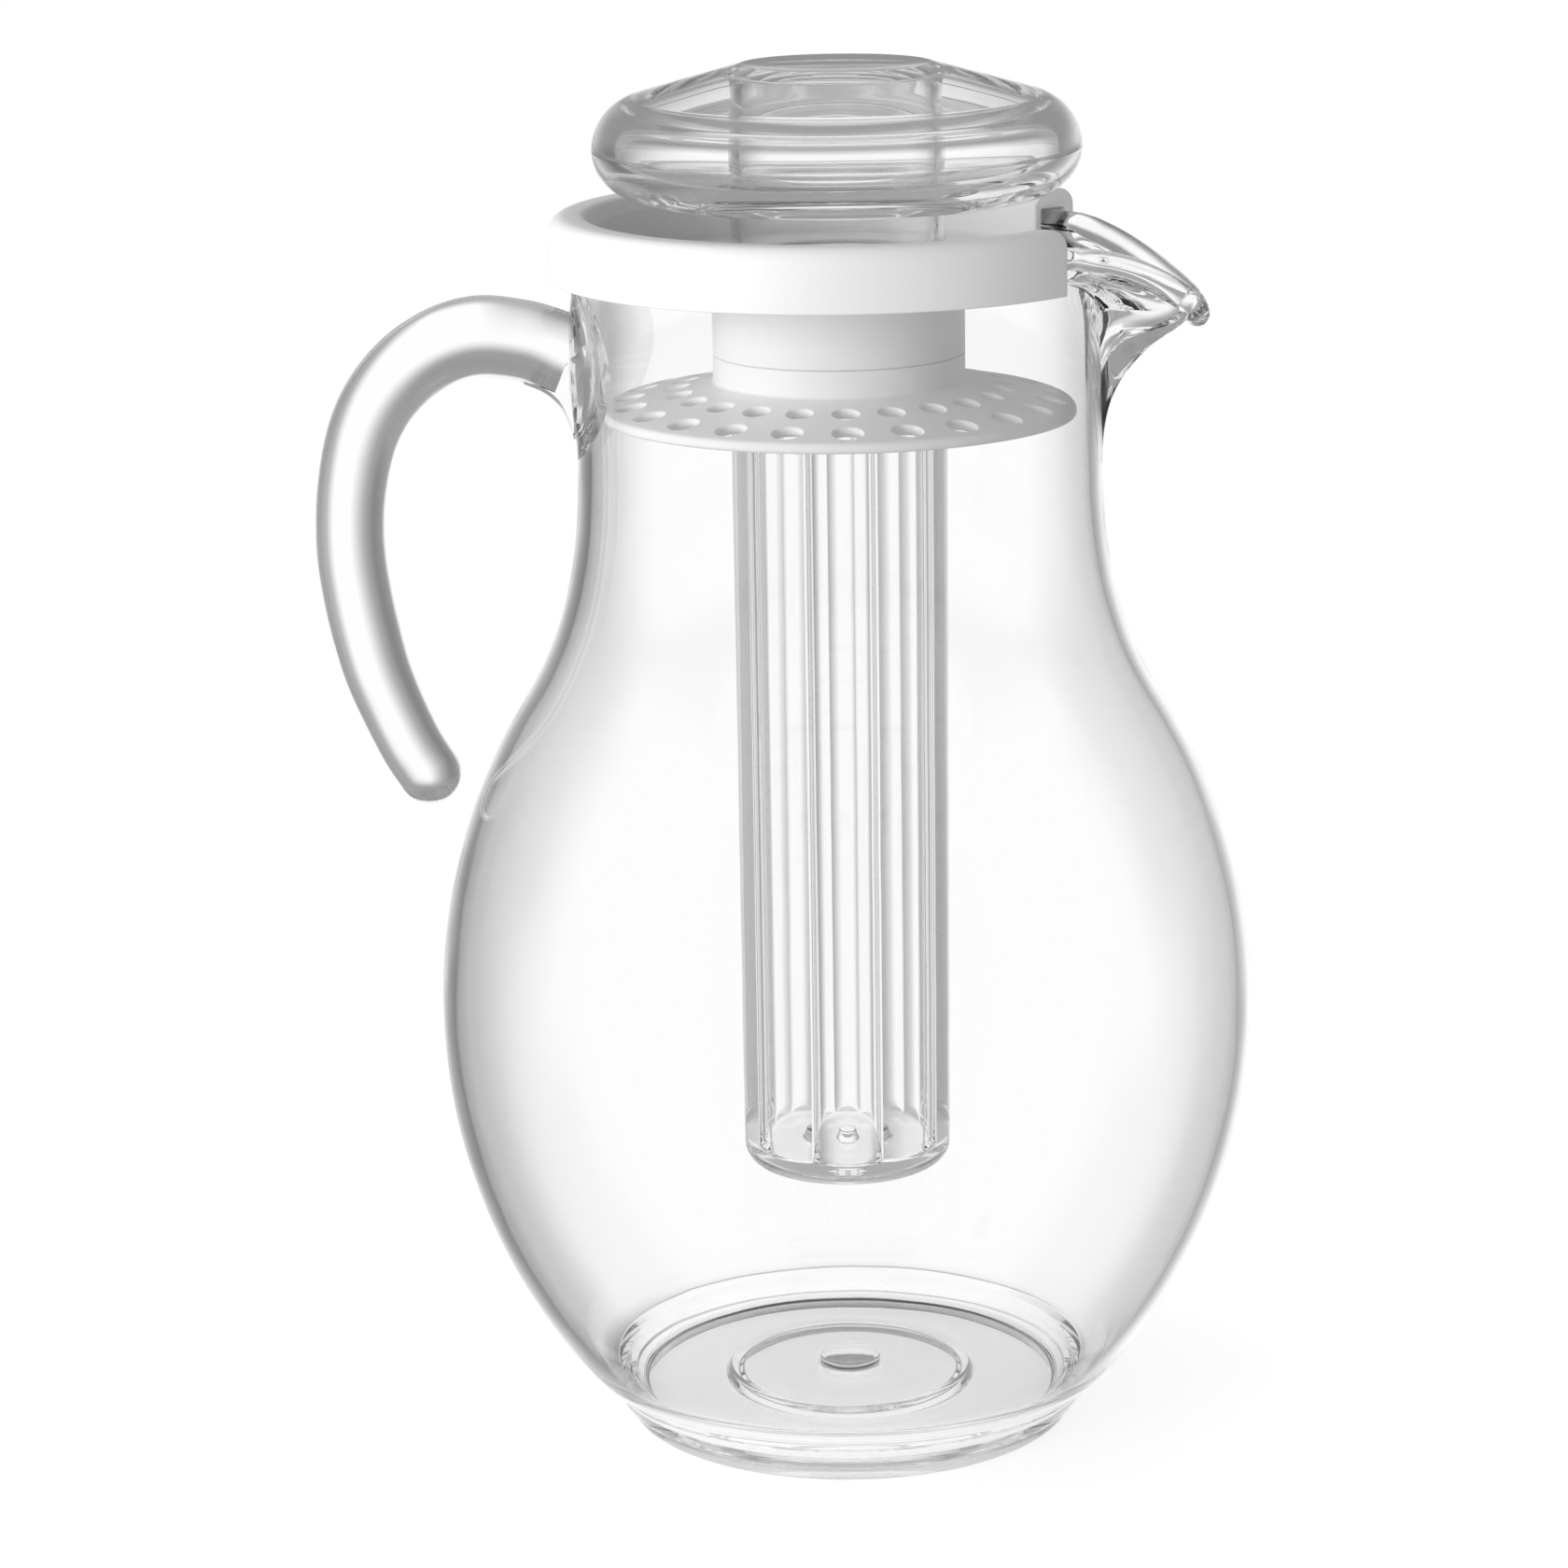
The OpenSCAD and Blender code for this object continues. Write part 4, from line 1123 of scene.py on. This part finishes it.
def floor_material(finishes):
    """Matt white card that glows a little, so that it stays white and keeps the soft shadow, and glows less
    near the object as painted shade.

    Past the jug's foot only the camera sees it, and the clear plastic bends what it shows from the room.
    """
    material, tree = new_material("Matt white card")
    if tree is None:
        return material
    far = add_node(
        tree, "ShaderNodeVectorMath", {"operation": "LENGTH"}, {0: object_place(tree)}
    ).outputs["Value"]

    def by_distance(near_mm, far_mm, near_value, far_value):
        return map_range(tree, far, metres(near_mm), metres(far_mm), near_value, far_value, "SMOOTHSTEP")

    card = principled(tree, finishes.floor, {"Roughness": 0.9})
    # Painted shade: within 240 mm of the axis the card glows less, about half as much near the jug, so the
    # floor round it and under its foot looks darker; far from the object it is plain white
    strength = maths(tree, "ADD", by_distance(38, 62, 0.46, 0.44), by_distance(75, 240, 0.0, 0.4))
    glow_and_painted_shade = add_node(tree, "ShaderNodeEmission", None, {"Color": grey(1.0), "Strength": strength}).outputs[0]
    both = add_node(tree, "ShaderNodeAddShader", None, {0: card, 1: glow_and_painted_shade}).outputs[0]
    seen = add_node(tree, "ShaderNodeLightPath").outputs["Is Camera Ray"]
    shown = maths(tree, "MAXIMUM", seen, by_distance(46, 62, 1.0, 0.0))
    open_floor = add_node(tree, "ShaderNodeBsdfTransparent").outputs[0]
    show(tree, mix_shader(tree, shown, open_floor, both))
    return material


class PITCHER_OT_stage(bpy.types.Operator):
    """Makes the floor, the lamps, the surroundings and the camera"""

    bl_idname = "pitcher.stage"
    bl_label = "Stage"

    def execute(self, context):
        scene = context.scene
        rim = [(FLOOR_R * math.cos(a), FLOOR_R * math.sin(a), 0) for a in all_round(96)]
        mesh = bpy.data.meshes.new("floor")
        mesh.from_pydata([metres(1) * Vector(p) for p in rim], [], [tuple(range(len(rim)))])
        floor = add_object("floor", mesh)
        mesh.materials.append(floor_material(scene.pitcher_finishes))
        for name, (place, aim, size, power) in LAMPS.items():
            light = bpy.data.lights.new(name, "AREA")
            light.size = metres(size)
            light.energy = power
            lamp = bpy.data.objects.new(name, light)
            place, aim = Vector(place), Vector(aim)
            turn = (aim - place).to_track_quat("-Z", "Y").to_matrix().to_4x4()
            lamp.matrix_world = Matrix.Translation(metres(1) * place) @ turn
            lamp.visible_transmission = False
            lamp.visible_glossy = False
            scene.collection.objects.link(lamp)
        scene.world = bpy.data.worlds.new("Studio")
        studio_world(scene.world)
        view = bpy.data.cameras.new("camera")
        view.sensor_width = SENSOR_WIDTH
        view.sensor_fit = "HORIZONTAL"
        view.lens = FOCAL_PX / PHOTO_SIDE_PX * SENSOR_WIDTH
        view.clip_end = 100
        camera = bpy.data.objects.new("camera", view)
        camera.matrix_world = (
            Matrix.Translation(metres(1) * Vector(CAMERA_AT))
            @ Matrix.Rotation(math.radians(CAMERA_HEADING), 4, "Z")
            @ Matrix.Rotation(math.radians(90 - CAMERA_DOWN), 4, "X")
            @ Matrix.Rotation(math.radians(CAMERA_ROLL), 4, "Z")
        )
        scene.collection.objects.link(camera)
        scene.camera = camera
        scene.view_settings.view_transform = "Standard"
        scene.cycles.max_bounces = BOUNCES
        scene.cycles.transmission_bounces = BOUNCES
        scene.cycles.glossy_bounces = BOUNCES
        return {"FINISHED"}


# ---- add-on

OPERATORS = (
    PITCHER_OT_jug,
    PITCHER_OT_handle,
    PITCHER_OT_lid,
    PITCHER_OT_strainer,
    PITCHER_OT_ice_tube,
    PITCHER_OT_cap,
    PITCHER_OT_stage,
)


class PITCHER_PT_pieces(bpy.types.Panel):
    """Lists the pieces of the pitcher and their sizes"""

    bl_idname = "PITCHER_PT_pieces"
    bl_label = "Pitcher"
    bl_space_type = "VIEW_3D"
    bl_region_type = "UI"
    bl_category = "Pitcher"

    def draw(self, context):
        for group in (context.scene.pitcher_sizes, context.scene.pitcher_finishes):
            for name in group.__annotations__:
                self.layout.prop(group, name)
        for operator in OPERATORS:
            self.layout.operator(operator.bl_idname)


CLASSES = (PitcherSizes, PitcherFinishes, *OPERATORS, PITCHER_PT_pieces)


def register():
    for item in CLASSES:
        bpy.utils.register_class(item)
    bpy.types.Scene.pitcher_sizes = PointerProperty(type=PitcherSizes)
    bpy.types.Scene.pitcher_finishes = PointerProperty(type=PitcherFinishes)


def unregister():
    del bpy.types.Scene.pitcher_finishes
    del bpy.types.Scene.pitcher_sizes
    for item in reversed(CLASSES):
        bpy.utils.unregister_class(item)


def main():
    register()
    for operator in OPERATORS:
        group, name = operator.bl_idname.split(".")
        getattr(getattr(bpy.ops, group), name)()


if __name__ == "__main__":
    main()
